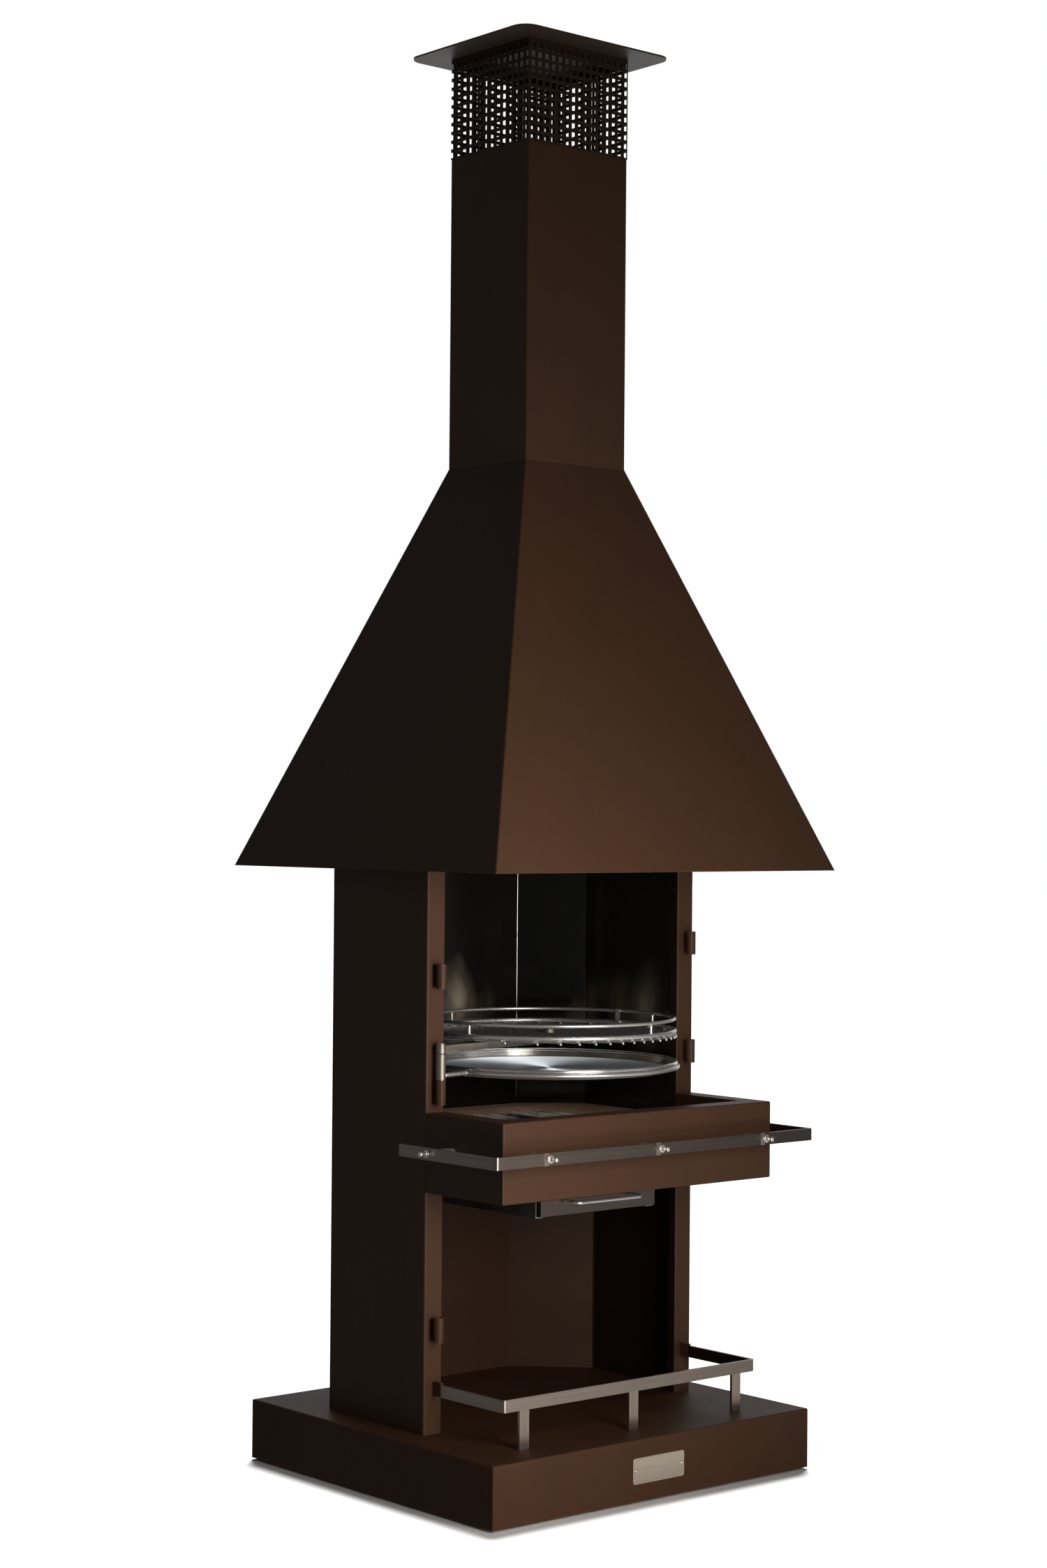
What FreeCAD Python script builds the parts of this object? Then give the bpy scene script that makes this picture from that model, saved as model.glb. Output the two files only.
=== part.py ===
import FreeCAD, Part
import Sketcher
import os, math

# Garden chiminea of folded sheet steel: a plinth, a tall open-fronted column with
# a log store below and a fire chamber above, a pyramid smoke hood, a square
# chimney with a perforated spark screen, and swing-out cooking arms.
# Millimetres, +Z up, front towards -Y, origin on the ground under the centre.

V3 = FreeCAD.Vector
doc = FreeCAD.newDocument("chiminea")
sheet = doc.addObject("Spreadsheet::Sheet", "dims")

DIMS = [
    ("foot_high", 4, "rubber pad under the plinth"),
    ("foot_rad", 18, "rubber pad radius"),
    ("plinth_hx", 350, "plinth half width"),
    ("plinth_hy", 324, "plinth half depth"),
    ("plinth_high", 99.5, "plinth height"),
    ("skin", 3, "body sheet thickness"),
    ("fold_rad", 3.2, "outer radius of a fold"),
    ("flange_w", 60, "plinth floor flange"),
    ("col_hx", 298.5, "column half width"),
    ("jamb_y", -85, "front face of the jambs"),
    ("open_hx", 261, "half width of the front opening"),
    ("jamb_ret", 16, "inward return of the jamb"),
    ("side_yb", 170, "rear corner of the column sides"),
    ("seam_y", 164, "seam between the sides and the back sheet"),
    ("back_hx", 189, "half width of the flat back"),
    ("back_y", 279.5, "outside of the flat back"),
    ("col_top", 1205, "column top above the plinth base"),
    ("liner_t", 2, "fire chamber liner thickness"),
    ("liner_yb", 156, "rear end of the liner sides"),
    ("liner_bx", 162, "half width of the liner back"),
    ("liner_by", 232, "inside face of the liner back"),
    ("liner_low", 562, "liner bottom"),
    ("liner_top", 1185, "liner top"),
    ("hearth_rim", 585, "hearth plate at its rim"),
    ("hearth_dip", 10, "fall of the hearth plate to the ash opening"),
    ("ash_hx", 135, "ash opening half width"),
    ("ash_hy", 105, "ash opening half depth"),
    ("ledge_y", -280, "front of the ledge"),
    ("ledge_low", 492.5, "underside of the ledge"),
    ("ledge_top", 622, "top rim of the ledge"),
    ("rim_w", 38, "width of the ledge rim"),
    ("bar_rad", 5, "ash grate bar radius"),
    ("bar_pitch", 28, "ash grate bar pitch"),
    ("drawer_hx", 127.4, "ash drawer half width"),
    ("drawer_yf", -174, "ash drawer front face"),
    ("drawer_yb", 110, "ash drawer rear"),
    ("drawer_low", 448.3, "ash drawer underside"),
    ("drawer_high", 41.5, "ash drawer height"),
    ("drawer_t", 1.5, "ash drawer sheet"),
    ("handle_hx", 73, "handle leg half spacing"),
    ("handle_out", 28, "handle reach"),
    ("handle_rad", 4, "handle rod radius"),
    ("runner_t", 2, "drawer runner sheet"),
    ("rail_w", 20, "flat bar height"),
    ("rail_t", 5, "flat bar thickness"),
    ("urail_hx", 352.6, "upper rail half width"),
    ("urail_yf", -327.7, "upper rail front face"),
    ("urail_yb", -84, "upper rail rear ends"),
    ("urail_z", 556.5, "upper rail underside"),
    ("peg_x", 240, "outer peg position"),
    ("peg_side_y", -155, "side peg position"),
    ("peg_rad", 4.25, "peg radius"),
    ("peg_out", 16, "peg reach"),
    ("stand_rad", 6, "rail standoff radius"),
    ("lrail_hx", 280, "lower rail half width"),
    ("lrail_yf", -264, "lower rail front face"),
    ("lrail_z", 162.3, "lower rail underside"),
    ("lrail_yb", -106, "lower rail rear ends"),
    ("lpost_x", 236, "lower rail outer post position"),
    ("sleeve_x", 280, "sleeve axis, half spacing"),
    ("sleeve_y", -99.5, "sleeve axis"),
    ("sleeve_rad", 8.25, "sleeve outer radius"),
    ("sleeve_bore", 6.1, "sleeve bore radius"),
    ("sleeve_long", 40, "sleeve length"),
    ("sl_low_left", 635.5, "lower left sleeve bottom"),
    ("sl_up_left", 824, "upper left sleeve bottom"),
    ("sl_base_left", 250.5, "base left sleeve bottom"),
    ("sl_low_right", 676.5, "lower right sleeve bottom"),
    ("sl_up_right", 865.5, "upper right sleeve bottom"),
    ("pin_rad", 6, "pivot pin radius"),
    ("arm_bore", 6.05, "arm tube bore radius"),
    ("arm_rad", 8, "arm tube outer radius"),
    ("pan_tube_z", 675.9, "pan arm tube bottom"),
    ("pan_tube_h", 42.1, "pan arm tube length"),
    ("grate_tube_z", 718.4, "grate arm tube bottom"),
    ("grate_tube_h", 15.6, "grate arm tube length"),
    ("centre_y", -43, "common centre of pan and grate"),
    ("ring_rad", 220.3, "pan ring centreline radius"),
    ("ring_rod", 3.75, "pan ring rod radius"),
    ("ring_z", 683, "pan ring height"),
    ("pan_base", 676, "pan underside"),
    ("pan_deep", 14, "pan depth"),
    ("pan_foot", 213.2, "pan floor radius"),
    ("pan_mouth", 215.8, "pan mouth radius"),
    ("pan_round", 4, "outer radius of the pan's bottom edge"),
    ("pan_t", 2, "pan sheet"),
    ("rim_rad", 217.5, "pan rolled rim centreline radius"),
    ("rim_rod", 3, "pan rolled rim section radius"),
    ("rim_z", 689.7, "pan rolled rim height"),
    ("grate_rad", 214, "grate ring centreline radius"),
    ("grate_rod", 4, "grate ring rod radius"),
    ("grate_z", 743, "grate ring height"),
    ("wire_rad", 2.25, "grate wire radius"),
    ("wire_pitch", 22.7, "grate wire pitch"),
    ("wire_z", 737.1, "grate wire height"),
    ("guard_rod", 3, "guard ring rod radius"),
    ("guard_z", 763.5, "guard ring height"),
    ("hub_rad", 11, "grate hub radius"),
    ("hub_bore", 5.05, "grate hub bore radius"),
    ("hub_pin", 5, "grate hub pin radius"),
    ("hood_hx", 377.8, "hood mouth half width"),
    ("hood_hy", 352, "hood mouth half depth"),
    ("hood_z", 1016.8, "hood mouth height"),
    ("hood_high", 684, "hood height"),
    ("hem_w", 15, "inward hem of the hood mouth"),
    ("chim_hx", 111.7, "chimney half width"),
    ("chim_hy", 102.7, "chimney half depth"),
    ("chim_high", 533, "chimney height"),
    ("screen_gap", 0.6, "shadow gap between chimney and screen"),
    ("screen_high", 172, "spark screen height"),
    ("screen_t", 2, "spark screen sheet"),
    ("hole_w", 9.7, "square perforation"),
    ("hole_pitch", 15, "perforation pitch across"),
    ("hole_rise", 15.25, "perforation pitch up"),
    ("lip_high", 15.2, "height of the skirt under the cap"),
    ("cap_hx", 167.7, "cap half width"),
    ("cap_hy", 155.9, "cap half depth"),
    ("cap_t", 3, "cap thickness"),
    ("cap_rad", 28, "cap corner radius"),
    ("plate_hx", 56.5, "name plate half width"),
    ("plate_low", 28, "name plate lower edge"),
    ("plate_high", 42, "name plate height"),
    ("plate_t", 1.5, "name plate thickness"),
]
for row, (alias, val, note) in enumerate(DIMS, start=1):
    sheet.set("A%d" % row, alias)
    sheet.set("B%d" % row, str(val))
    sheet.set("C%d" % row, note)
    sheet.setAlias("B%d" % row, alias)
doc.recompute()


class Q:
    """A driving quantity: its number and the sheet expression that gives it."""

    def __init__(self, num, txt=None):
        self.num = float(num)
        self.txt = txt if txt is not None else repr(float(num))

    def _mix(self, other, sign, num):
        return Q(num, "(%s %s %s)" % (self.txt, sign, other.txt))

    def __add__(self, o):
        o = q(o)
        return self._mix(o, "+", self.num + o.num)

    def __radd__(self, o):
        return q(o) + self

    def __sub__(self, o):
        o = q(o)
        return self._mix(o, "-", self.num - o.num)

    def __rsub__(self, o):
        return q(o) - self

    def __mul__(self, o):
        o = q(o)
        return self._mix(o, "*", self.num * o.num)

    def __rmul__(self, o):
        return q(o) * self

    def __truediv__(self, o):
        o = q(o)
        return self._mix(o, "/", self.num / o.num)

    def __neg__(self):
        return Q(-self.num, "(0 - %s)" % self.txt)


def q(v):
    return v if isinstance(v, Q) else Q(v)


def qsqrt(v):
    return Q(math.sqrt(v.num), "sqrt(%s)" % v.txt)


class Dims:
    pass


D = Dims()
for alias, val, note in DIMS:
    setattr(D, alias, Q(float(sheet.get(alias)), "dims.%s" % alias))

F = D.foot_high          # every level above the plinth base is raised by the pads
NODES = []
SERIAL = [0]


def nm(stem):
    SERIAL[0] += 1
    return "%s_%d" % (stem, SERIAL[0])


def bind(obj, prop, v):
    v = q(v)
    if "dims." in v.txt:
        obj.setExpression(prop, v.txt)


def place(obj, x, y, z, rot=None):
    x, y, z = q(x), q(y), q(z)
    obj.Placement = FreeCAD.Placement(V3(x.num, y.num, z.num), rot or FreeCAD.Rotation())
    for axis, v in (("x", x), ("y", y), ("z", z)):
        bind(obj, "Placement.Base." + axis, v)
    return obj


def box(x0, x1, y0, y1, z0, z1):
    b = doc.addObject("Part::Box", nm("box"))
    for prop, lo, hi in (("Length", x0, x1), ("Width", y0, y1), ("Height", z0, z1)):
        span = q(hi) - q(lo)
        setattr(b, prop, span.num)
        bind(b, prop, span)
    return place(b, x0, y0, z0)


TURN = {
    "z": FreeCAD.Rotation(),
    "x": FreeCAD.Rotation(V3(0, 1, 0), 90),
    "y": FreeCAD.Rotation(V3(1, 0, 0), -90),
    "-x": FreeCAD.Rotation(V3(0, 1, 0), -90),
    "-y": FreeCAD.Rotation(V3(1, 0, 0), 90),
}


def cyl(rad, high, x, y, z, axis="z"):
    c = doc.addObject("Part::Cylinder", nm("cyl"))
    c.Radius, c.Height = q(rad).num, q(high).num
    bind(c, "Radius", rad)
    bind(c, "Height", high)
    return place(c, x, y, z, TURN[axis])


def cone(rad1, rad2, high, x, y, z, axis="z"):
    c = doc.addObject("Part::Cone", nm("cone"))
    c.Radius1, c.Radius2, c.Height = q(rad1).num, q(rad2).num, q(high).num
    bind(c, "Radius1", rad1)
    bind(c, "Radius2", rad2)
    bind(c, "Height", high)
    return place(c, x, y, z, TURN[axis])


def torus(rad, rod, x, y, z):
    t = doc.addObject("Part::Torus", nm("torus"))
    t.Radius1, t.Radius2 = q(rad).num, q(rod).num
    bind(t, "Radius1", rad)
    bind(t, "Radius2", rod)
    return place(t, x, y, z)


def cut(base, tool):
    c = doc.addObject("Part::Cut", nm("cut"))
    c.Base, c.Tool = base, tool
    return c


def fuse(*shapes):
    f = doc.addObject("Part::MultiFuse", nm("fuse"))
    f.Shapes = list(shapes)
    return f


def group(*shapes):
    g = doc.addObject("Part::Compound", nm("group"))
    g.Links = list(shapes)
    return g


def node(obj, label):
    obj.Label = label
    NODES.append(obj)
    return obj


# ---------------------------------------------------------------- bodies

def body(name):
    return doc.addObject("PartDesign::Body", name)


def origin_plane(b, role):
    for f in b.Origin.OriginFeatures:
        if f.Role == role:
            return f
    raise RuntimeError("no plane " + role)


def sketch(b, name, lift=None, role="XY_Plane"):
    sk = b.newObject("Sketcher::SketchObject", name)
    sk.AttachmentSupport = (origin_plane(b, role), [""])
    sk.MapMode = "FlatFace"
    if lift is not None:
        lift = q(lift)
        sk.AttachmentOffset = FreeCAD.Placement(V3(0, 0, lift.num), FreeCAD.Rotation())
        bind(sk, "AttachmentOffset.Base.z", lift)
    return sk


def pin_point(sk, geo, pos, x, y):
    """Hold a sketch point at (x, y), each a sheet quantity."""
    for kind, axis, v in (("DistanceX", -2, q(x)), ("DistanceY", -1, q(y))):
        if abs(v.num) < 1e-9:
            sk.addConstraint(Sketcher.Constraint("PointOnObject", geo, pos, axis))
        else:
            n = sk.addConstraint(Sketcher.Constraint(kind, -1, 1, geo, pos, v.num))
            if "dims." in v.txt:
                sk.setExpression("Constraints[%d]" % n, v.txt)


def loop(sk, pts):
    """A closed outline through pts."""
    pts = [(q(x), q(y)) for x, y in pts]
    n = len(pts)
    first = sk.GeometryCount
    for i in range(n):
        a, b = pts[i], pts[(i + 1) % n]
        sk.addGeometry(Part.LineSegment(V3(a[0].num, a[1].num, 0), V3(b[0].num, b[1].num, 0)), False)
    for i in range(n):
        sk.addConstraint(Sketcher.Constraint("Coincident", first + i, 2, first + (i + 1) % n, 1))
    for i in range(n):
        pin_point(sk, first + i, 1, pts[i][0], pts[i][1])


def rect(sk, x0, x1, y0, y1):
    loop(sk, [(x0, y0), (x1, y0), (x1, y1), (x0, y1)])


def folded(sk, pts, thick, side):
    """A folded sheet's section: the seen face runs through pts, and the sheet lies
    to the left (side=1) or the right (side=-1) of it."""
    pts = [(q(x), q(y)) for x, y in pts]
    thick = q(thick)
    n = len(pts) - 1
    face = [V3(x.num, y.num, 0) for x, y in pts]
    dirs = [(face[i + 1] - face[i]).normalize() for i in range(n)]
    norm = [V3(-d.y, d.x, 0) * side for d in dirs]
    t = thick.num
    back = [face[0] + norm[0] * t]
    for i in range(1, n):
        bis = norm[i - 1] + norm[i]
        back.append(face[i] + bis * (2 * t / bis.Length ** 2))
    back.append(face[n] + norm[n - 1] * t)
    for i in range(n):
        sk.addGeometry(Part.LineSegment(face[i], face[i + 1]), False)
    for i in range(n):
        sk.addGeometry(Part.LineSegment(back[i], back[i + 1]), False)
    start = sk.addGeometry(Part.LineSegment(face[0], back[0]), False)
    end = sk.addGeometry(Part.LineSegment(face[n], back[n]), False)
    C = Sketcher.Constraint
    for i in range(n - 1):
        sk.addConstraint(C("Coincident", i, 2, i + 1, 1))
        sk.addConstraint(C("Coincident", n + i, 2, n + i + 1, 1))
    sk.addConstraint(C("Coincident", start, 1, 0, 1))
    sk.addConstraint(C("Coincident", start, 2, n, 1))
    sk.addConstraint(C("Coincident", end, 1, n - 1, 2))
    sk.addConstraint(C("Coincident", end, 2, 2 * n - 1, 2))
    for i in range(n):
        pin_point(sk, i, 1, pts[i][0], pts[i][1])
    pin_point(sk, n - 1, 2, pts[n][0], pts[n][1])
    for i in range(n):
        sk.addConstraint(C("Parallel", i, n + i))
        k = sk.addConstraint(C("Distance", n + i, 1, i, t))
        if "dims." in thick.txt:
            sk.setExpression("Constraints[%d]" % k, thick.txt)
    sk.addConstraint(C("Perpendicular", start, 0))
    sk.addConstraint(C("Perpendicular", end, n - 1))


def pad(b, sk, length, name):
    p = b.newObject("PartDesign::Pad", name)
    p.Profile = sk
    p.Length = q(length).num
    bind(p, "Length", length)
    doc.recompute()
    return p


def pocket_up(b, sk, depth, name):
    """Remove the outline upward from its plane."""
    before = b.Shape.Volume
    p = b.newObject("PartDesign::Pocket", name)
    p.Profile = sk
    p.Reversed = True
    p.Length = q(depth).num
    bind(p, "Length", depth)
    doc.recompute()
    if not b.Shape.Volume < before - 1.0:
        raise RuntimeError("pocket removed nothing: " + name)
    return p


def soften(b, last, radius, pick, name):
    """Round the edges of the last feature that pick accepts."""
    doc.recompute()
    names = ["Edge%d" % (i + 1) for i, e in enumerate(last.Shape.Edges) if pick(e)]
    if not names:
        raise RuntimeError("no edges for " + name)
    f = b.newObject("PartDesign::Fillet", name)
    f.Base = (last, names)
    f.Radius = q(radius).num
    bind(f, "Radius", radius)
    doc.recompute()
    return f


def ends(e):
    return [v.Point for v in e.Vertexes]


def upright(e, pts):
    """True for a vertical edge standing on one of the plan points."""
    v = ends(e)
    if len(v) != 2 or abs(v[0].x - v[1].x) > 1e-4 or abs(v[0].y - v[1].y) > 1e-4:
        return False
    return any(abs(v[0].x - x) < 0.05 and abs(v[0].y - y) < 0.05 for x, y in pts)


def lift_body(b, z):
    place(b, 0, 0, z)


# ---------------------------------------------------------------- plinth

b = body("plinth_body")
sk = sketch(b, "plinth_outline")
rect(sk, -D.plinth_hx, D.plinth_hx, -D.plinth_hy, D.plinth_hy)
last = pad(b, sk, D.plinth_high, "plinth_block")
px, py, ph = D.plinth_hx.num, D.plinth_hy.num, D.plinth_high.num


def plinth_edge(e):
    v = ends(e)
    if upright(e, [(sx * px, sy * py) for sx in (-1, 1) for sy in (-1, 1)]):
        return True
    return len(v) == 2 and abs(v[0].z - ph) < 1e-4 and abs(v[1].z - ph) < 1e-4


soften(b, last, D.fold_rad, plinth_edge, "plinth_folds")
sk = sketch(b, "plinth_mouth")
rect(sk, -D.plinth_hx + D.flange_w, D.plinth_hx - D.flange_w,
     -D.plinth_hy + D.flange_w, D.plinth_hy - D.flange_w)
pocket_up(b, sk, D.skin, "plinth_mouth_cut")
sk = sketch(b, "plinth_hollow", D.skin)
rect(sk, -D.plinth_hx + D.skin, D.plinth_hx - D.skin, -D.plinth_hy + D.skin, D.plinth_hy - D.skin)
pocket_up(b, sk, D.plinth_high - D.skin * 2, "plinth_hollow_cut")
lift_body(b, F)
node(b, "plinth")

feet = [cyl(D.foot_rad, F, sx * (D.plinth_hx - 34), sy * (D.plinth_hy - 34), 0)
        for sx in (-1, 1) for sy in (-1, 1)]
node(group(*feet), "rubber_pads")

# ---------------------------------------------------------------- column

col_z = F + D.plinth_high
col_len = D.col_top - D.plinth_high
for label, s in (("column_side_left", -1), ("column_side_right", 1)):
    b = body(label + "_body")
    sk = sketch(b, label + "_section")
    folded(sk, [(s * D.open_hx, D.jamb_y + D.jamb_ret), (s * D.open_hx, D.jamb_y),
                (s * D.col_hx, D.jamb_y), (s * D.col_hx, D.seam_y)], D.skin, s)
    last = pad(b, sk, col_len, label + "_sheet")
    pts = [(s * D.open_hx.num, D.jamb_y.num), (s * D.col_hx.num, D.jamb_y.num)]
    soften(b, last, D.fold_rad, lambda e: upright(e, pts), label + "_folds")
    lift_body(b, col_z)
    node(b, label)

b = body("column_back_body")
sk = sketch(b, "column_back_section")
folded(sk, [(-D.col_hx, D.seam_y + 0.2), (-D.col_hx, D.side_yb), (-D.back_hx, D.back_y),
            (D.back_hx, D.back_y), (D.col_hx, D.side_yb), (D.col_hx, D.seam_y + 0.2)], D.skin, -1)
last = pad(b, sk, col_len, "column_back_sheet")
pts = [(s * x.num, y.num) for s in (-1, 1) for x, y in ((D.back_hx, D.back_y), (D.col_hx, D.side_yb))]
soften(b, last, D.fold_rad, lambda e: upright(e, pts), "column_back_folds")
lift_body(b, col_z)
node(b, "column_back")

# ---------------------------------------------------------------- fire chamber

liner_len = D.liner_top - D.liner_low
for label, s in (("liner_left", -1), ("liner_right", 1)):
    b = body(label + "_body")
    sk = sketch(b, label + "_section")
    folded(sk, [(s * D.open_hx, D.jamb_y + D.jamb_ret + 0.4), (s * D.open_hx, D.liner_yb),
                (s * D.liner_bx, D.liner_by)], D.liner_t, -s)
    pad(b, sk, liner_len, label + "_sheet")
    lift_body(b, F + D.liner_low)
    node(b, label)
node(box(-D.liner_bx + 0.4, D.liner_bx - 0.4, D.liner_by, D.liner_by + D.liner_t,
         F + D.liner_low, F + D.liner_top), "liner_back")

# hearth plate: flat sheets falling to the ash opening, folded from the corners
ox, oyf, oyb = D.open_hx.num, (D.ledge_y + D.rim_w).num, D.liner_yb.num
zr, zd = (F + D.hearth_rim).num, (F + D.hearth_rim - D.hearth_dip).num
ring_out = [(-ox, oyf), (ox, oyf), (ox, oyb), (D.liner_bx.num, D.liner_by.num),
            (-D.liner_bx.num, D.liner_by.num), (-ox, oyb)]
hx, hy = D.ash_hx.num, D.ash_hy.num
ring_in = [(-hx, -hy), (hx, -hy), (hx, hy), (-hx, hy)]


def hearth_faces(drop, flip):
    o = [V3(x, y, zr - drop) for x, y in ring_out]
    i = [V3(x, y, zd - drop) for x, y in ring_in]
    out = []
    for poly in ([o[0], o[1], i[1], i[0]], [o[1], o[2], i[2], i[1]], [o[2], o[3], i[2]],
                 [o[3], o[4], i[3], i[2]], [o[4], o[5], i[3]], [o[5], o[0], i[0], i[3]]):
        if flip:
            poly = poly[::-1]
        out.append(Part.Face(Part.makePolygon(poly + [poly[0]])))
    return out


faces = hearth_faces(0, False) + hearth_faces(D.skin.num, True)
for ring, zz in ((ring_out, zr), (ring_in, zd)):
    n = len(ring)
    for k in range(n):
        (ax, ay), (bx, by) = ring[k], ring[(k + 1) % n]
        poly = [V3(ax, ay, zz), V3(bx, by, zz), V3(bx, by, zz - D.skin.num), V3(ax, ay, zz - D.skin.num)]
        faces.append(Part.Face(Part.makePolygon(poly + [poly[0]])))
sh = Part.makeShell(faces)
sh.sewShape()
solid = Part.Solid(sh)
if solid.Volume < 0:
    solid.reverse()
hearth = doc.addObject("Part::Feature", "hearth_sheet")
hearth.Shape = solid
hearth.Placement = FreeCAD.Placement()
node(hearth, "hearth_plate")

# ash chute below the opening, with a flange that carries the drawer runners
chute_top, chute_low = F + D.hearth_rim - D.hearth_dip - D.skin - 0.1, F + D.ledge_low + 2
b = body("ash_chute_body")
sk0 = sketch(b, "chute_low_out")
rect(sk0, -124, 124, -82, 98)
sk1 = sketch(b, "chute_top_out", chute_top - chute_low)
rect(sk1, -D.ash_hx - 3, D.ash_hx + 3, -D.ash_hy - 3, D.ash_hy + 3)
lo = b.newObject("PartDesign::AdditiveLoft", "chute_outside")
lo.Profile, lo.Sections, lo.Ruled = sk0, [sk1], True
doc.recompute()
sk2 = sketch(b, "chute_low_in")
rect(sk2, -122, 122, -80, 96)
sk3 = sketch(b, "chute_top_in", chute_top - chute_low)
rect(sk3, -D.ash_hx - 1, D.ash_hx + 1, -D.ash_hy - 1, D.ash_hy + 1)
before = b.Shape.Volume
lo = b.newObject("PartDesign::SubtractiveLoft", "chute_inside")
lo.Profile, lo.Sections, lo.Ruled = sk2, [sk3], True
doc.recompute()
if not before * 0.005 < b.Shape.Volume < before * 0.2:
    raise RuntimeError("chute is not hollow: %g of %g" % (b.Shape.Volume, before))
lift_body(b, chute_low)
node(b, "ash_chute")

node(cut(box(-160, 160, D.jamb_y + 0.3, 125, F + D.ledge_low, chute_low),
         box(-122, 122, -80, 96, F + D.ledge_low - 1, chute_low + 1)), "chute_flange")

# ash grate: round bars front to back, on two cross bars
bar_z = F + D.hearth_rim - D.hearth_dip + 1.4 + D.bar_rad
bars = [cyl(D.bar_rad, 236, k * D.bar_pitch, -118, bar_z, "y") for k in (-4, -3, -2, -1, 0, 1, 2, 3, 4)]
cross = [cyl(4, 240, -120, yy, bar_z - D.bar_rad - 3.6, "x") for yy in (-70, 70)]
node(fuse(*(bars + cross)), "ash_grate")

# front ledge: a hollow folded rim round the front of the hearth
x0, x1 = -D.col_hx, D.col_hx
zl, zt = F + D.ledge_low, F + D.ledge_top
outer = box(x0, x1, D.ledge_y, D.jamb_y, zl, zt)
hollow = box(x0 + D.skin, x1 - D.skin, D.ledge_y + D.skin, D.jamb_y + 1, zl + D.skin, zt - D.skin)
tray = box(-D.open_hx, D.open_hx, D.ledge_y + D.rim_w, D.jamb_y + 1, F + D.hearth_rim - 3, zt + 1)
inner_low = F + D.hearth_rim - 18
wall_l = box(-D.open_hx - D.skin, -D.open_hx, D.ledge_y + D.rim_w - D.skin, D.jamb_y, inner_low, zt)
wall_r = box(D.open_hx, D.open_hx + D.skin, D.ledge_y + D.rim_w - D.skin, D.jamb_y, inner_low, zt)
wall_f = box(-D.open_hx - D.skin, D.open_hx + D.skin, D.ledge_y + D.rim_w - D.skin, D.ledge_y + D.rim_w, inner_low, zt)
ledge_raw = fuse(cut(cut(outer, hollow), tray), wall_l, wall_r, wall_f)
ledge_raw.Refine = True
doc.recompute()
fil = doc.addObject("Part::Fillet", "ledge_folds")
fil.Base = ledge_raw
edges = []
for k, e in enumerate(ledge_raw.Shape.Edges):
    v = ends(e)
    if len(v) != 2:
        continue
    m = (v[0] + v[1]) * 0.5
    onx = abs(abs(m.x) - D.col_hx.num) < 1e-3
    ony = abs(m.y - D.ledge_y.num) < 1e-3
    onz = abs(m.z - zt.num) < 1e-3 or abs(m.z - zl.num) < 1e-3
    if (onx and ony) or (onx and onz and e.Length > 100) or (ony and onz and e.Length > 100):
        edges.append((k + 1, D.fold_rad.num - 0.4, D.fold_rad.num - 0.4))
fil.Edges = edges
node(fil, "front_ledge")

# ---------------------------------------------------------------- ash drawer

dz = F + D.drawer_low
tub = cut(box(-D.drawer_hx, D.drawer_hx, D.drawer_yf, D.drawer_yb, dz, dz + D.drawer_high),
          box(-D.drawer_hx + D.drawer_t, D.drawer_hx - D.drawer_t, D.drawer_yf + D.drawer_t,
              D.drawer_yb - D.drawer_t, dz + D.drawer_t, dz + D.drawer_high + 1))
node(tub, "ash_drawer")

# bow handle: a round rod bent out, across and back to the drawer front
hr, hb = D.handle_rad.num, 11.0
hx, yf, yo = D.handle_hx.num, D.drawer_yf.num, D.drawer_yf.num - D.handle_out.num
hz = (dz + D.drawer_high * 0.5 + 1).num
k = hb * (1 - math.sqrt(0.5))
edges = [
    Part.LineSegment(V3(-hx, yf, hz), V3(-hx, yo + hb, hz)),
    Part.Arc(V3(-hx, yo + hb, hz), V3(-hx + k, yo + k, hz), V3(-hx + hb, yo, hz)),
    Part.LineSegment(V3(-hx + hb, yo, hz), V3(hx - hb, yo, hz)),
    Part.Arc(V3(hx - hb, yo, hz), V3(hx - k, yo + k, hz), V3(hx, yo + hb, hz)),
    Part.LineSegment(V3(hx, yo + hb, hz), V3(hx, yf, hz)),
]
path = Part.Wire([e.toShape() for e in edges])
prof = Part.Wire([Part.Circle(V3(-hx, yf, hz), V3(0, 1, 0), hr).toShape()])
rod = path.makePipeShell([prof], True, False)
want = math.pi * hr * hr * path.Length
if abs(rod.Volume - want) > 0.02 * want:
    raise RuntimeError("handle rod is not whole")
handle = doc.addObject("Part::Feature", "handle_rod")
handle.Shape = rod
handle.Placement = FreeCAD.Placement()
node(handle, "drawer_handle")

# runners: an angle on each side, hung under the ledge and the chute flange
rt = D.runner_t
runs = []
for s in (-1, 1):
    xin, xout = D.drawer_hx + 1.6, D.drawer_hx + 1.6 + rt
    xa, xb = (xin, xout) if s > 0 else (-xout, -xin)
    leg = box(xa, xb, D.drawer_yf + 9, D.drawer_yb + 8, dz - 2.8, F + D.ledge_low)
    ha, hb2 = (D.drawer_hx - 12, xout) if s > 0 else (-xout, -D.drawer_hx + 12)
    toe = box(ha, hb2, D.drawer_yf + 9, D.drawer_yb + 8, dz - 2.8, dz - 0.8)
    runs.append(fuse(leg, toe))
node(group(*runs), "drawer_runners")

# ---------------------------------------------------------------- rails


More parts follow.
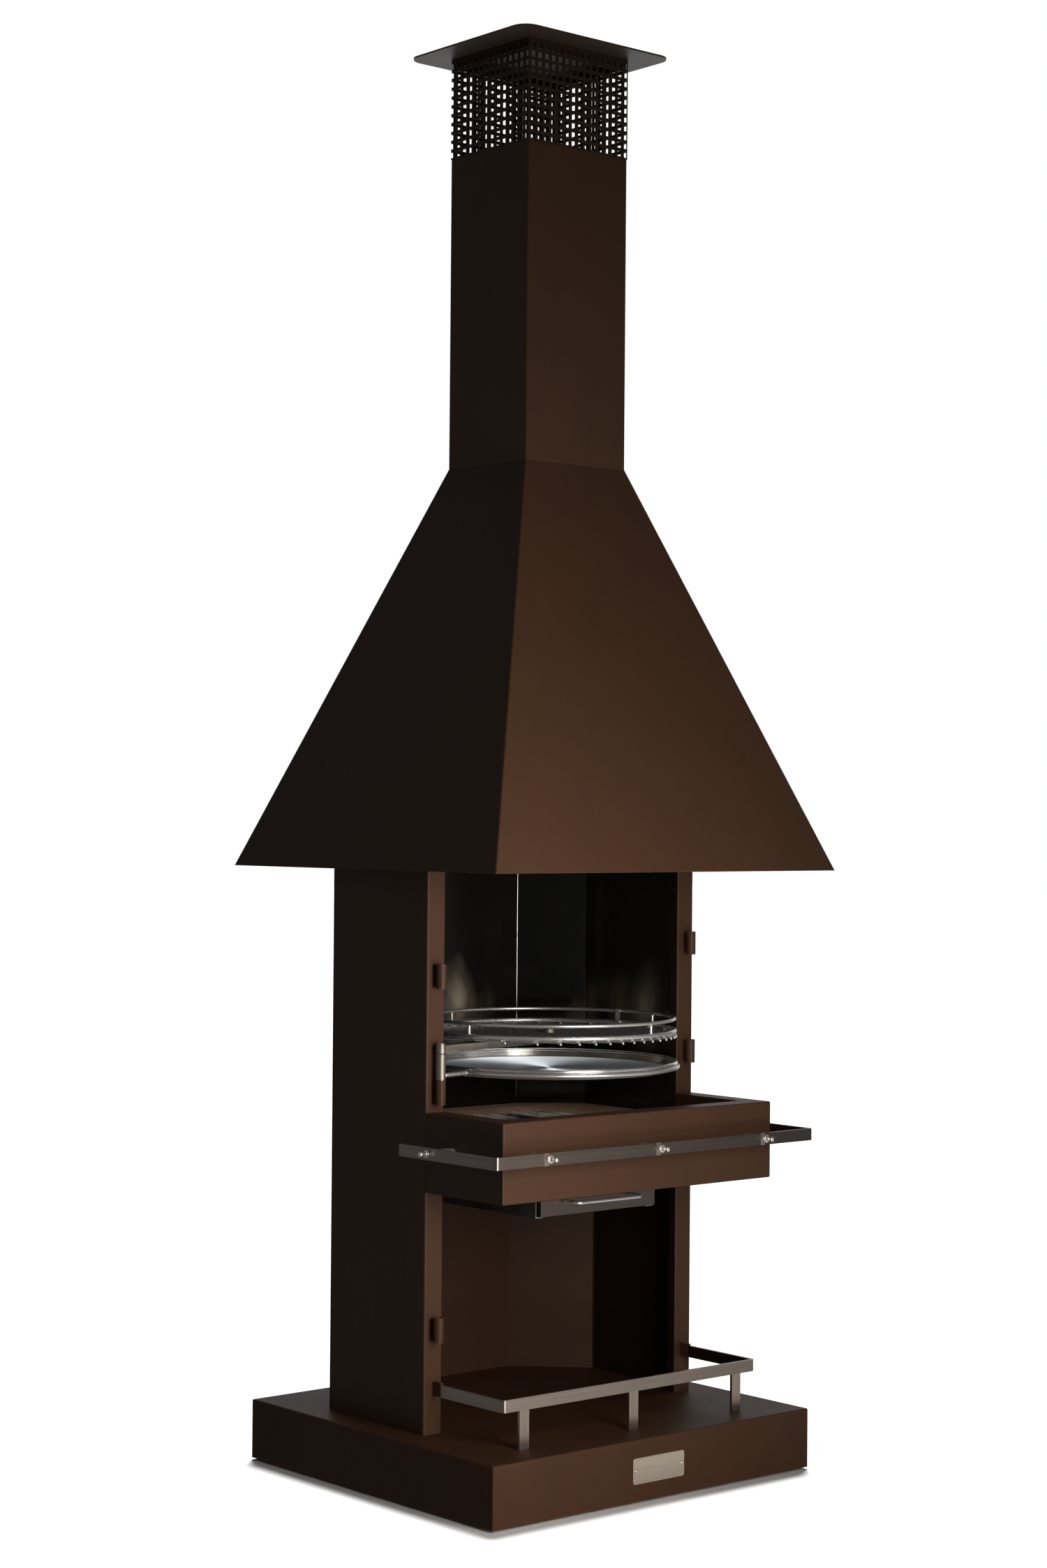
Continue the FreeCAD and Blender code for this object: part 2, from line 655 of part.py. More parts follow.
def flat_rail(label, hx, yf, yb, z, round_ends):
    b = body(label + "_body")
    sk = sketch(b, label + "_section")
    folded(sk, [(-hx, yb), (-hx, yf), (hx, yf), (hx, yb)], D.rail_t, 1)
    last = pad(b, sk, D.rail_w, label + "_bar")
    out = [(s * hx.num, yf.num) for s in (-1, 1)]
    last = soften(b, last, 6, lambda e: upright(e, out), label + "_outer_bends")
    inn = [(s * (hx.num - D.rail_t.num), yf.num + D.rail_t.num) for s in (-1, 1)]
    last = soften(b, last, 1.5, lambda e: upright(e, inn), label + "_inner_bends")
    if round_ends:
        def tip(e):
            v = ends(e)
            return len(v) == 2 and all(abs(p.y - yb.num) < 1e-3 for p in v) and abs(v[0].z - v[1].z) < 1e-4
        soften(b, last, 3, tip, label + "_rounded_ends")
    lift_body(b, z)
    node(b, label)


flat_rail("upper_rail", D.urail_hx, D.urail_yf, D.urail_yb, F + D.urail_z, True)
flat_rail("lower_rail", D.lrail_hx, D.lrail_yf, D.lrail_yb, F + D.lrail_z, False)
tabs = [box(a, c, D.lrail_yb, D.jamb_y, F + D.lrail_z, F + D.lrail_z + D.rail_w + 3)
        for a, c in ((-D.lrail_hx, -D.lrail_hx + D.rail_t), (D.lrail_hx - D.rail_t, D.lrail_hx))]
node(group(*tabs), "rail_tabs")
posts = [box(xx - 10, xx + 10, D.lrail_yf, D.lrail_yf + D.rail_t, F + D.plinth_high, F + D.lrail_z)
         for xx in (-D.lpost_x, q(0), D.lpost_x)]
node(group(*posts), "lower_rail_posts")

rz = F + D.urail_z + D.rail_w * 0.5
stands, pegs = [], []
for xx in (-D.peg_x, q(0), D.peg_x):
    stands.append(cyl(D.stand_rad, D.ledge_y - D.urail_yf - D.rail_t, xx, D.urail_yf + D.rail_t, rz, "y"))
    pegs.append(fuse(cyl(D.peg_rad, D.peg_out - 3, xx, D.urail_yf, rz, "-y"),
                     cone(D.peg_rad, D.peg_rad - 1.6, 3, xx, D.urail_yf - D.peg_out + 3, rz, "-y")))
for s, ax in ((-1, "-x"), (1, "x")):
    span = D.urail_hx - D.rail_t - D.col_hx
    stands.append(cyl(D.stand_rad, span, s * D.col_hx, D.peg_side_y, rz, ax))
    pegs.append(fuse(cyl(D.peg_rad, D.peg_out - 3, s * D.urail_hx, D.peg_side_y, rz, ax),
                     cone(D.peg_rad, D.peg_rad - 1.6, 3, s * (D.urail_hx + D.peg_out - 3), D.peg_side_y, rz, ax)))
node(group(*stands), "rail_standoffs")
node(group(*pegs), "utensil_pegs")

# ---------------------------------------------------------------- sleeves and arms

for label, s, low in (("sleeve_lower_left", -1, D.sl_low_left), ("sleeve_upper_left", -1, D.sl_up_left),
                      ("sleeve_base_left", -1, D.sl_base_left), ("sleeve_lower_right", 1, D.sl_low_right),
                      ("sleeve_upper_right", 1, D.sl_up_right)):
    cx = s * D.sleeve_x
    z0 = F + low
    tube = cyl(D.sleeve_rad, D.sleeve_long, cx, D.sleeve_y, z0)
    tab = box(cx - 4, cx + 4, D.sleeve_y + 7, D.jamb_y, z0 + 4, z0 + D.sleeve_long - 4)
    bore = cyl(D.sleeve_bore, D.sleeve_long + 2, cx, D.sleeve_y, z0 - 1)
    node(cut(fuse(tube, tab), bore), label)

pvx, pvy = -D.sleeve_x, D.sleeve_y
pin_low = F + D.sl_low_left + 2
pin_top = F + D.grate_tube_z + D.grate_tube_h + 0.5
node(fuse(cyl(D.pin_rad, pin_top - pin_low, pvx, pvy, pin_low),
          cone(D.pin_rad, D.pin_rad - 2, 1.6, pvx, pvy, pin_top)), "pivot_pin")

ang = math.degrees(math.atan2(D.centre_y.num - pvy.num, -pvx.num))
reach = math.hypot(D.centre_y.num - pvy.num, pvx.num)
ux, uy = math.cos(math.radians(ang)), math.sin(math.radians(ang))


def along(dist, z):
    return V3(pvx.num + ux * dist, pvy.num + uy * dist, z)


# pan arm: tube on the pin, a short rod and the ring that carries the pan
tube = cyl(D.arm_rad, D.pan_tube_h, pvx, pvy, F + D.pan_tube_z)
bore = cyl(D.arm_bore, D.pan_tube_h + 2, pvx, pvy, F + D.pan_tube_z - 1)
rod = doc.addObject("Part::Cylinder", "pan_arm_rod")
rod.Radius, rod.Height = 4, reach - D.ring_rad.num - 7
rod.Placement = FreeCAD.Placement(along(7, (F + D.ring_z).num), FreeCAD.Rotation(V3(0, 0, 1), V3(ux, uy, 0)))
ring = torus(D.ring_rad, D.ring_rod, 0, D.centre_y, F + D.ring_z)
node(fuse(cut(fuse(tube, rod), bore), ring), "pan_arm")

# fire pan: shallow dish with a rolled rim that rests on the ring
dish_raw = cut(cone(D.pan_foot, D.pan_mouth, D.pan_deep, 0, D.centre_y, F + D.pan_base),
               cone(D.pan_foot - D.pan_t, D.pan_mouth - D.pan_t + 0.02, D.pan_deep, 0, D.centre_y, F + D.pan_base + D.pan_t))
doc.recompute()
dish = doc.addObject("Part::Fillet", "dish_bottom_round")
dish.Base = dish_raw
edges = []
for k, e in enumerate(dish_raw.Shape.Edges):
    if not hasattr(e.Curve, "Radius") or e.Length < 100:
        continue
    mid = e.CenterOfMass.z
    if abs(mid - (F + D.pan_base).num) < 1e-3:
        edges.append((k + 1, D.pan_round.num, D.pan_round.num))
    elif abs(mid - (F + D.pan_base + D.pan_t).num) < 1e-3:
        edges.append((k + 1, D.pan_round.num - D.pan_t.num, D.pan_round.num - D.pan_t.num))
if len(edges) != 2:
    raise RuntimeError("pan bottom edges: %d" % len(edges))
dish.Edges = edges
node(fuse(dish, torus(D.rim_rad, D.rim_rod, 0, D.centre_y, F + D.rim_z)), "fire_pan")

# grate arm: tube on the pin, a flat bar to the centre, and the pin the grate turns on
tube = cyl(D.arm_rad, D.grate_tube_h, pvx, pvy, F + D.grate_tube_z)
bore = cyl(D.arm_bore, D.grate_tube_h + 2, pvx, pvy, F + D.grate_tube_z - 1)
bar = doc.addObject("Part::Box", "grate_arm_bar")
bar.Length, bar.Width, bar.Height = reach + 10 - 7, 8, 12
p0 = along(7, (F + D.grate_tube_z + 1.2).num) + V3(uy * 4, -ux * 4, 0)
bar.Placement = FreeCAD.Placement(p0, FreeCAD.Rotation(V3(0, 0, 1), ang))
bar_top = F + D.grate_tube_z + 13.2
stub = cyl(D.hub_pin, F + D.grate_z + 1 - bar_top + 2, 0, D.centre_y, bar_top - 2)
node(fuse(cut(fuse(tube, bar), bore), stub), "grate_arm")

# round grill: ring, parallel wires square to the arm, and a hub
wires = []
n_side = 9
for k in range(-n_side, n_side + 1):
    off = k * D.wire_pitch.num
    half = math.sqrt(D.grate_rad.num ** 2 - off ** 2) + 0.5
    w = doc.addObject("Part::Cylinder", nm("wire"))
    w.Radius, w.Height = D.wire_rad.num, 2 * half
    bind(w, "Radius", D.wire_rad)
    cx, cy = ux * off, D.centre_y.num + uy * off
    w.Placement = FreeCAD.Placement(V3(cx - (-uy) * half, cy - ux * half, (F + D.wire_z).num),
                                    FreeCAD.Rotation(V3(0, 0, 1), V3(-uy, ux, 0)))
    wires.append(w)
hub_low = bar_top + 0.5
hub = cyl(D.hub_rad, F + D.grate_z + 2 - hub_low, 0, D.centre_y, hub_low)
hole = cyl(D.hub_bore, 40, 0, D.centre_y, hub_low - 10)
gring = torus(D.grate_rad, D.grate_rod, 0, D.centre_y, F + D.grate_z)
node(cut(fuse(*([gring, hub] + wires)), hole), "grill_grate")

# guard rail round the grill
posts = []
for a in (90, 180, 270, -20):
    t = math.radians(ang + a)
    posts.append(cyl(D.guard_rod - 0.3, D.guard_z - D.grate_z - D.grate_rod - D.guard_rod - 0.1,
                     math.cos(t) * D.grate_rad.num, D.centre_y.num + math.sin(t) * D.grate_rad.num,
                     F + D.grate_z + D.grate_rod + 0.05))
# a flat strap joins the two rings at the far side, inside them
strap = doc.addObject("Part::Box", "guard_strap")
strap.Length, strap.Width, strap.Height = 2, 9, 25
t = math.radians(ang + 2)
r0 = D.grate_rad.num - D.grate_rod.num - 0.1 - 2
strap.Placement = FreeCAD.Placement(
    V3(math.cos(t) * r0 + math.sin(t) * 4.5, D.centre_y.num + math.sin(t) * r0 - math.cos(t) * 4.5,
       (F + D.guard_z).num + D.guard_rod.num - 25), FreeCAD.Rotation(V3(0, 0, 1), math.degrees(t)))
posts.append(strap)
node(torus(D.grate_rad, D.guard_rod, 0, D.centre_y, F + D.guard_z), "guard_ring")
node(group(*posts), "guard_posts")

# ---------------------------------------------------------------- hood

sx = (D.hood_hx - D.chim_hx) / D.hood_high
sy = (D.hood_hy - D.chim_hy) / D.hood_high
tx = D.skin * qsqrt(sx * sx + 1)
ty = D.skin * qsqrt(sy * sy + 1)
b = body("hood_body")
s0 = sketch(b, "hood_mouth")
rect(s0, -D.hood_hx, D.hood_hx, -D.hood_hy, D.hood_hy)
s1 = sketch(b, "hood_neck", D.hood_high)
rect(s1, -D.chim_hx, D.chim_hx, -D.chim_hy, D.chim_hy)
lo = b.newObject("PartDesign::AdditiveLoft", "hood_outside")
lo.Profile, lo.Sections, lo.Ruled = s0, [s1], True
doc.recompute()


def hip(e):
    v = ends(e)
    if len(v) != 2 or abs(v[0].z - v[1].z) < 10:
        return False
    foot = v[0] if v[0].z < v[1].z else v[1]
    return abs(foot.z) < 1e-3 and abs(abs(foot.x) - D.hood_hx.num) < 1e-2


s2 = sketch(b, "hood_in_low", D.skin)
rect(s2, -D.hood_hx + D.skin * sx + tx, D.hood_hx - D.skin * sx - tx,
     -D.hood_hy + D.skin * sy + ty, D.hood_hy - D.skin * sy - ty)
s3 = sketch(b, "hood_in_top", D.hood_high + 10)
rect(s3, -D.chim_hx + tx + sx * 10, D.chim_hx - tx - sx * 10, -D.chim_hy + ty + sy * 10, D.chim_hy - ty - sy * 10)
before = b.Shape.Volume
lo = b.newObject("PartDesign::SubtractiveLoft", "hood_inside")
lo.Profile, lo.Sections, lo.Ruled = s2, [s3], True
doc.recompute()
if not before * 0.005 < b.Shape.Volume < before * 0.2:
    raise RuntimeError("hood is not hollow: %g of %g" % (b.Shape.Volume, before))
last = soften(b, lo, D.fold_rad, hip, "hood_folds")
sk = sketch(b, "hood_hem")
rect(sk, -D.hood_hx + D.hem_w, D.hood_hx - D.hem_w, -D.hood_hy + D.hem_w, D.hood_hy - D.hem_w)
pocket_up(b, sk, D.skin, "hood_hem_cut")
lift_body(b, F + D.hood_z)
node(b, "hood")

# gussets between the column top and the sloping hood
g_low, g_top = D.col_top - 80, D.col_top - 8


def gusset(side, at):
    zl_, zt_ = g_low.num, g_top.num
    hz_ = D.hood_z.num
    if side in ("left", "right"):
        c, m, s_, t_ = D.col_hx.num, D.hood_hx.num, sx.num, tx.num
    else:
        c, m, s_, t_ = D.back_y.num, D.hood_hy.num, sy.num, ty.num
    prof = [(c, zl_), (m - s_ * (zl_ - hz_) - t_, zl_), (m - s_ * (zt_ - hz_) - t_, zt_), (c, zt_)]
    f = F.num
    if side == "back":
        pts_ = [V3(at - 2, a, z + f) for a, z in prof]
        ex = V3(4, 0, 0)
    else:
        sg = -1 if side == "left" else 1
        pts_ = [V3(sg * a, at - 2, z + f) for a, z in prof]
        ex = V3(0, 4, 0)
    return Part.Face(Part.makePolygon(pts_ + [pts_[0]])).extrude(ex)


gus = doc.addObject("Part::Feature", "hood_gussets")
gus.Shape = Part.makeCompound([gusset("left", -60), gusset("left", 130), gusset("right", -60),
                               gusset("right", 130), gusset("back", -130), gusset("back", 130)])
gus.Placement = FreeCAD.Placement()
node(gus, "hood_gussets")

# ---------------------------------------------------------------- chimney


def tube_body(label, hx, hy, wall, z0, high, rad):
    b = body(label + "_body")
    sk = sketch(b, label + "_section")
    rect(sk, -hx, hx, -hy, hy)
    rect(sk, -hx + wall, hx - wall, -hy + wall, hy - wall)
    last = pad(b, sk, high, label + "_tube")
    cs = [(s * hx.num, t * hy.num) for s in (-1, 1) for t in (-1, 1)]
    if rad:
        soften(b, last, rad, lambda e: upright(e, cs), label + "_folds")
    lift_body(b, z0)
    node(b, label)


chim_z = F + D.hood_z + D.hood_high
tube_body("chimney", D.chim_hx, D.chim_hy, D.skin, chim_z, D.chim_high, D.fold_rad)
tube_body("chimney_spigot", D.chim_hx - D.skin - 0.4, D.chim_hy - D.skin - 0.4, q(2), chim_z - 30, q(70), None)
scr_z = chim_z + D.chim_high + D.screen_gap
tube_body("screen_spigot", D.chim_hx - D.skin - 0.4, D.chim_hy - D.skin - 0.4, q(2), scr_z - 35, q(40), None)

# spark screen: four perforated sheets; the square holes run on over the folds, so
# some columns are open at a sheet's edge
st, hw, hp, vp = D.screen_t.num, D.hole_w.num, D.hole_pitch.num, D.hole_rise.num
z0, z1 = scr_z.num, (scr_z + D.screen_high).num
rows = [(3 + vp * j, 3 + vp * j + hw) for j in range(11)]


def perforated(length, along_x, lo_corner, first, strip=0.0):
    """A sheet with square holes: length along X or Y, up Z; the first column starts at
    first, a column that meets an end of the sheet is a notch, and strip is what stays
    whole at the far end."""
    high = z1 - z0

    def at(a, b_):
        return V3(a, 0, b_) if along_x else V3(0, a, b_)

    cols, a = [], first
    while a < length - 0.6:
        cols.append((max(a, 0.0), min(a + hw, length - strip)))
        a += hp
    left = cols[0][1] if cols[0][0] < 0.6 else 0.0
    right = length - cols[-1][0] if cols[-1][1] > length - 0.6 else 0.0
    rim = [at(0, 0), at(length, 0)]
    if right:
        for b0, b1 in rows:
            rim += [at(length, b0), at(length - right, b0), at(length - right, b1), at(length, b1)]
    rim += [at(length, high), at(0, high)]
    if left:
        for b0, b1 in rows[::-1]:
            rim += [at(0, b1), at(left, b1), at(left, b0), at(0, b0)]
    ws = [Part.makePolygon(rim + [rim[0]])]
    for a0, a1 in cols:
        if (left and a0 < 0.6) or (right and a1 > length - 0.6):
            continue
        for b0, b1 in rows:
            p = [at(a0, b0), at(a1, b0), at(a1, b1), at(a0, b1)]
            ws.append(Part.makePolygon(p + [p[0]]))
    face = Part.Face(ws, "Part::FaceMakerBullseye")
    s_ = face.extrude(V3(0, st, 0) if along_x else V3(st, 0, 0))
    s_.translate(lo_corner)
    return s_


wx, wy = D.chim_hx.num, D.chim_hy.num
panels = [
    perforated(2 * wx, True, V3(-wx, -wy, z0), 5.7, 1.0),
    perforated(2 * wx, True, V3(-wx, wy - st, z0), -5.2),
    perforated(2 * wy - 2 * st, False, V3(-wx, -wy + st, z0), -2.0),
    perforated(2 * wy - 2 * st, False, V3(wx - st, -wy + st, z0), -2.0),
]
scr = doc.addObject("Part::Feature", "screen_sheets")
scr.Shape = Part.makeCompound(panels)
scr.Placement = FreeCAD.Placement()
node(scr, "spark_screen")

# skirt under the cap, inside the top of the screen
cap_z = scr_z + D.screen_high + 0.4
lx, ly = D.chim_hx - D.screen_t - 0.3, D.chim_hy - D.screen_t - 0.3
node(cut(box(-lx, lx, -ly, ly, cap_z - D.lip_high, cap_z),
         box(-lx + 1.5, lx - 1.5, -ly + 1.5, ly - 1.5, cap_z - D.lip_high - 1, cap_z + 1)), "screen_lip")

b = body("cap_plate_body")
sk = sketch(b, "cap_plate_outline")
rect(sk, -D.cap_hx, D.cap_hx, -D.cap_hy, D.cap_hy)
last = pad(b, sk, D.cap_t, "cap_plate_sheet")
cs = [(s * D.cap_hx.num, t * D.cap_hy.num) for s in (-1, 1) for t in (-1, 1)]
soften(b, last, D.cap_rad, lambda e: upright(e, cs), "cap_plate_corners")
lift_body(b, cap_z)
node(b, "cap_plate")

# ---------------------------------------------------------------- name plate

fy = -D.plinth_hy
plate = box(-D.plate_hx, D.plate_hx, fy - D.plate_t, fy, F + D.plate_low, F + D.plate_low + D.plate_high)
pz = F + D.plate_low + D.plate_high * 0.5
doc.recompute()
pf = doc.addObject("Part::Fillet", "name_plate_corners")
pf.Base = plate
pf.Edges = [(k + 1, 4.0, 4.0) for k, e in enumerate(plate.Shape.Edges) if abs(e.Length - D.plate_t.num) < 1e-6]
node(pf, "name_plate")
screws = []
for s in (-1, 1):
    xx = s * (D.plate_hx - 5)
    screws.append(fuse(cyl(2.6, 0.8, xx, fy - D.plate_t, pz, "-y"), cone(2.6, 1.7, 0.9, xx, fy - D.plate_t - 0.8, pz, "-y")))
node(group(*screws), "plate_screws")

# ---------------------------------------------------------------- check and write

doc.recompute()
bad = [o.Name for o in doc.Objects if "Invalid" in o.State or "Error" in o.State]
if bad:
    raise RuntimeError("failed objects: " + ", ".join(bad))
labels = [o.Label for o in NODES]
if len(set(labels)) != len(labels):
    raise RuntimeError("labels repeat")
for o in NODES:
    if o.Shape.isNull() or not o.Shape.isValid() or o.Shape.Volume <= 0:
        raise RuntimeError("bad shape: " + o.Label)
os.makedirs("parts", exist_ok=True)
for o in NODES:
    o.Shape.exportStep("parts/%s.step" % o.Label)
    bb = o.Shape.BoundBox
    print("%-20s solids %2d vol %10.0f  x %7.1f %7.1f  y %7.1f %7.1f  z %7.1f %7.1f" % (
        o.Label, len(o.Shape.Solids), o.Shape.Volume, bb.XMin, bb.XMax, bb.YMin, bb.YMax, bb.ZMin, bb.ZMax))
print(len(NODES), "nodes")
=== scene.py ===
import math

import bmesh
import bpy
from mathutils import Matrix, Vector


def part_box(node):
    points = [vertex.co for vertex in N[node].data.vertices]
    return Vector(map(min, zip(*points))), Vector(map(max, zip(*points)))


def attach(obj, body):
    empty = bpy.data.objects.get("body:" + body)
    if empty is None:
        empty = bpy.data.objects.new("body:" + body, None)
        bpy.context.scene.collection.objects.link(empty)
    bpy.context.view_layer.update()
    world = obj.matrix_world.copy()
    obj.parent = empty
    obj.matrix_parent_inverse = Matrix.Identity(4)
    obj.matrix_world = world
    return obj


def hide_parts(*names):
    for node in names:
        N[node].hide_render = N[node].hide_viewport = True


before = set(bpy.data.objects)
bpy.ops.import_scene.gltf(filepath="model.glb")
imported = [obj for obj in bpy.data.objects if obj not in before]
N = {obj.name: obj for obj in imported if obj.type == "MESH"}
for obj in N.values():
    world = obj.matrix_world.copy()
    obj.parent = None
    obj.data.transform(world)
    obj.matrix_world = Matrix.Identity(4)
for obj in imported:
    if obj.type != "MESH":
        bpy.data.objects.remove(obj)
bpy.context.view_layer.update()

scene = bpy.context.scene
scene.view_settings.view_transform = "Standard"
scene.view_settings.look = "None"
scene.view_settings.exposure = 0.0
scene.view_settings.gamma = 1.0

# ------------------------------------------------------------------ camera

YAW, PITCH, ROLL = math.radians(40.4438), math.radians(0.6088), math.radians(0.4615)
fwd = Vector((math.sin(YAW) * math.cos(PITCH), math.cos(YAW) * math.cos(PITCH), math.sin(PITCH)))
rgt = Vector((math.cos(YAW), -math.sin(YAW), 0))
upw = rgt.cross(fwd)
r2 = rgt * math.cos(ROLL) + upw * math.sin(ROLL)
u2 = -rgt * math.sin(ROLL) + upw * math.cos(ROLL)
cam_data = bpy.data.cameras.new("camera")
cam_data.lens, cam_data.sensor_width, cam_data.sensor_fit = 65.15, 36.0, "AUTO"
cam_data.clip_start, cam_data.clip_end = 0.05, 200.0
cam = bpy.data.objects.new("camera", cam_data)
scene.collection.objects.link(cam)
m = Matrix.Identity(4)
for row in range(3):
    m[row][0], m[row][1], m[row][2] = r2[row], u2[row], -fwd[row]
m.translation = Vector((-3.1737, -3.6956, 1.1128))
cam.matrix_world = m
scene.camera = cam

# ------------------------------------------------------------------ material kit


class Mat:
    """A node material with a principled shader and short helpers."""

    def __init__(self, name):
        self.m = bpy.data.materials.new(name)
        self.m.use_nodes = True
        self.nt = self.m.node_tree
        self.nt.nodes.clear()
        self.out = self.nt.nodes.new("ShaderNodeOutputMaterial")
        self.b = self.nt.nodes.new("ShaderNodeBsdfPrincipled")
        self.nt.links.new(self.b.outputs[0], self.out.inputs[0])
        self.co = self.nt.nodes.new("ShaderNodeTexCoord")

    def set(self, **kw):
        for k, v in kw.items():
            self.b.inputs[k.replace("_", " ")].default_value = v
        return self

    def link(self, a, b):
        self.nt.links.new(a, b)

    def node(self, kind, **kw):
        n = self.nt.nodes.new(kind)
        for k, v in kw.items():
            setattr(n, k, v)
        return n

    def coords(self, scale=(1, 1, 1), loc=(0, 0, 0), rot=(0, 0, 0)):
        mp = self.node("ShaderNodeMapping")
        mp.vector_type = "POINT"
        mp.inputs["Scale"].default_value = scale
        mp.inputs["Location"].default_value = loc
        mp.inputs["Rotation"].default_value = rot
        self.link(self.co.outputs["Object"], mp.inputs["Vector"])
        return mp.outputs[0]

    def noise(self, scale, detail=2.0, rough=0.5, vec=None, distortion=0.0):
        n = self.node("ShaderNodeTexNoise")
        n.inputs["Scale"].default_value = scale
        n.inputs["Detail"].default_value = detail
        n.inputs["Roughness"].default_value = rough
        n.inputs["Distortion"].default_value = distortion
        self.link(vec if vec is not None else self.co.outputs["Object"], n.inputs["Vector"])
        return n.outputs["Fac"]

    def ramp(self, fac, stops):
        r = self.node("ShaderNodeValToRGB")
        while len(r.color_ramp.elements) < len(stops):
            r.color_ramp.elements.new(0.5)
        for e, (p, c) in zip(r.color_ramp.elements, stops):
            e.position = p
            e.color = (*c, 1) if isinstance(c, tuple) else (c, c, c, 1)
        self.link(fac, r.inputs[0])
        return r.outputs[0]

    def mix(self, fac, a, b, blend="MIX"):
        n = self.node("ShaderNodeMix", data_type="RGBA", blend_type=blend)
        for sock, v in ((n.inputs["Factor"], fac), (n.inputs[6], a), (n.inputs[7], b)):
            if hasattr(v, "is_linked") or hasattr(v, "links"):
                self.link(v, sock)
            elif isinstance(v, tuple):
                sock.default_value = (*v, 1)
            else:
                sock.default_value = v
        return n.outputs[2]

    def math(self, op, a, b=0.0, c=None):
        n = self.node("ShaderNodeMath", operation=op)
        for k, v in enumerate((a, b) if c is None else (a, b, c)):
            if hasattr(v, "links"):
                self.link(v, n.inputs[k])
            else:
                n.inputs[k].default_value = v
        return n.outputs[0]

    def span(self, fac, lo, hi):
        n = self.node("ShaderNodeMapRange")
        n.inputs["To Min"].default_value = lo
        n.inputs["To Max"].default_value = hi
        self.link(fac, n.inputs["Value"])
        return n.outputs[0]

    def bump(self, *layers, normal=None):
        last = normal
        for height, strength, dist in layers:
            n = self.node("ShaderNodeBump")
            n.inputs["Strength"].default_value = strength
            n.inputs["Distance"].default_value = dist
            self.link(height, n.inputs["Height"])
            if last is not None:
                self.link(last, n.inputs["Normal"])
            last = n.outputs[0]
        self.link(last, self.b.inputs["Normal"])
        return last

    def axis(self, name):
        s = self.node("ShaderNodeSeparateXYZ")
        self.link(self.co.outputs["Object"], s.inputs[0])
        return s.outputs[name]


def edge_mask(mt, radius):
    """0 on flats, up to 1 close to an edge."""
    bev = mt.node("ShaderNodeBevel", samples=4)
    bev.inputs["Radius"].default_value = radius
    geo = mt.node("ShaderNodeNewGeometry")
    dot = mt.node("ShaderNodeVectorMath", operation="DOT_PRODUCT")
    mt.link(bev.outputs[0], dot.inputs[0])
    mt.link(geo.outputs["Normal"], dot.inputs[1])
    n = mt.node("ShaderNodeMapRange")
    n.inputs["From Min"].default_value = 0.995
    n.inputs["From Max"].default_value = 0.80
    mt.link(dot.outputs["Value"], n.inputs["Value"])
    return n.outputs[0], bev.outputs[0]


def paint(name, tone=1.0, rub_and_glint_level=0.6, rough=0.46, shade=(), gloss=0.24, grey=0.0):
    """Dark brown heat-proof powder coat: satin, a fine orange-peel grain, slight warm
    and olive drift over a sheet, and a lighter brown along folds and edges that is a painted fold highlight, broken up
    like a light rub.
    shade lists (axis, side, tone): faces turned that way are darkened as painted shade. grey mixes in a neutral painted
    sheen."""
    t = Mat(name)
    deep, warm, olive = (0.0560, 0.0249, 0.0118), (0.0670, 0.0288, 0.0142), (0.0525, 0.0262, 0.0102)
    drift = t.noise(1.9, 3.0, 0.55, t.coords((1, 1, 0.7), (3.1, 7.7, 1.3)))
    drift2 = t.noise(5.3, 4.0, 0.6, t.coords((1, 1, 1), (9.4, 2.2, 4.4)))
    col = t.ramp(drift, [(0.30, olive), (0.52, deep), (0.72, warm)])
    fine = t.noise(640, 2.0, 0.6)
    col = t.mix(t.span(fine, 0.0, 0.30), col, tuple(x * 1.55 for x in warm))
    soil = t.noise(23, 5.0, 0.65, t.coords((1, 1, 0.35), (1, 5, 2)))
    col = t.mix(t.ramp(soil, [(0.48, 0.0), (0.80, 0.22)]), col, (0.026, 0.017, 0.012))
    # Lighter brown along folds and edges: a painted fold highlight, broken up by noise like a light rub; it also lowers
    # roughness there.
    mask, _ = edge_mask(t, 0.0022)
    rub_and_glint = t.math("MULTIPLY", mask, t.ramp(t.noise(70, 4.0, 0.6), [(0.35, 0.25), (0.7, 1.0)]))
    col = t.mix(t.math("MULTIPLY", rub_and_glint, rub_and_glint_level), col, (0.175, 0.100, 0.062))
    if tone != 1.0:
        col = t.mix(1.0, col, (tone, tone, tone), "MULTIPLY")
    # grey mixes a neutral grey into the colour: a painted sheen standing in for a grey reflection.
    if grey:
        col = t.mix(grey, col, (0.040, 0.034, 0.031))
    if shade:
        geo = t.node("ShaderNodeNewGeometry")
        part = t.node("ShaderNodeSeparateXYZ")
        t.link(geo.outputs["True Normal"], part.inputs[0])
        # Painted shade: faces turned the listed ways are darkened by tone k, broken up by noise.
        painted_shade_breakup = t.ramp(t.noise(6, 4.0, 0.6, t.coords((1, 1, 0.4), (2, 2, 2))), [(0.3, 0.85), (0.7, 1.0)])
        for axis, side, k in shade:
            facing = t.math("GREATER_THAN", t.math("MULTIPLY", part.outputs[axis], side), 0.7)
            col = t.mix(t.math("MULTIPLY", facing, painted_shade_breakup), col, t.mix(1.0, col, (k, k, k), "MULTIPLY"))
    t.link(col, t.b.inputs["Base Color"])
    r = t.math("ADD", t.span(drift2, rough - 0.05, rough + 0.07), t.span(fine, -0.03, 0.05))
    t.link(t.math("ADD", r, t.math("MULTIPLY", rub_and_glint, -0.06)), t.b.inputs["Roughness"])
    peel = t.noise(310, 2.0, 0.5)
    t.bump((t.noise(9, 1.0, 0.4), 0.12, 0.0012), (peel, 0.16, 0.00025), (t.noise(1500, 1.0, 0.5), 0.14, 0.00012))
    t.set(Specular_IOR_Level=gloss, IOR=1.5)
    return t.m


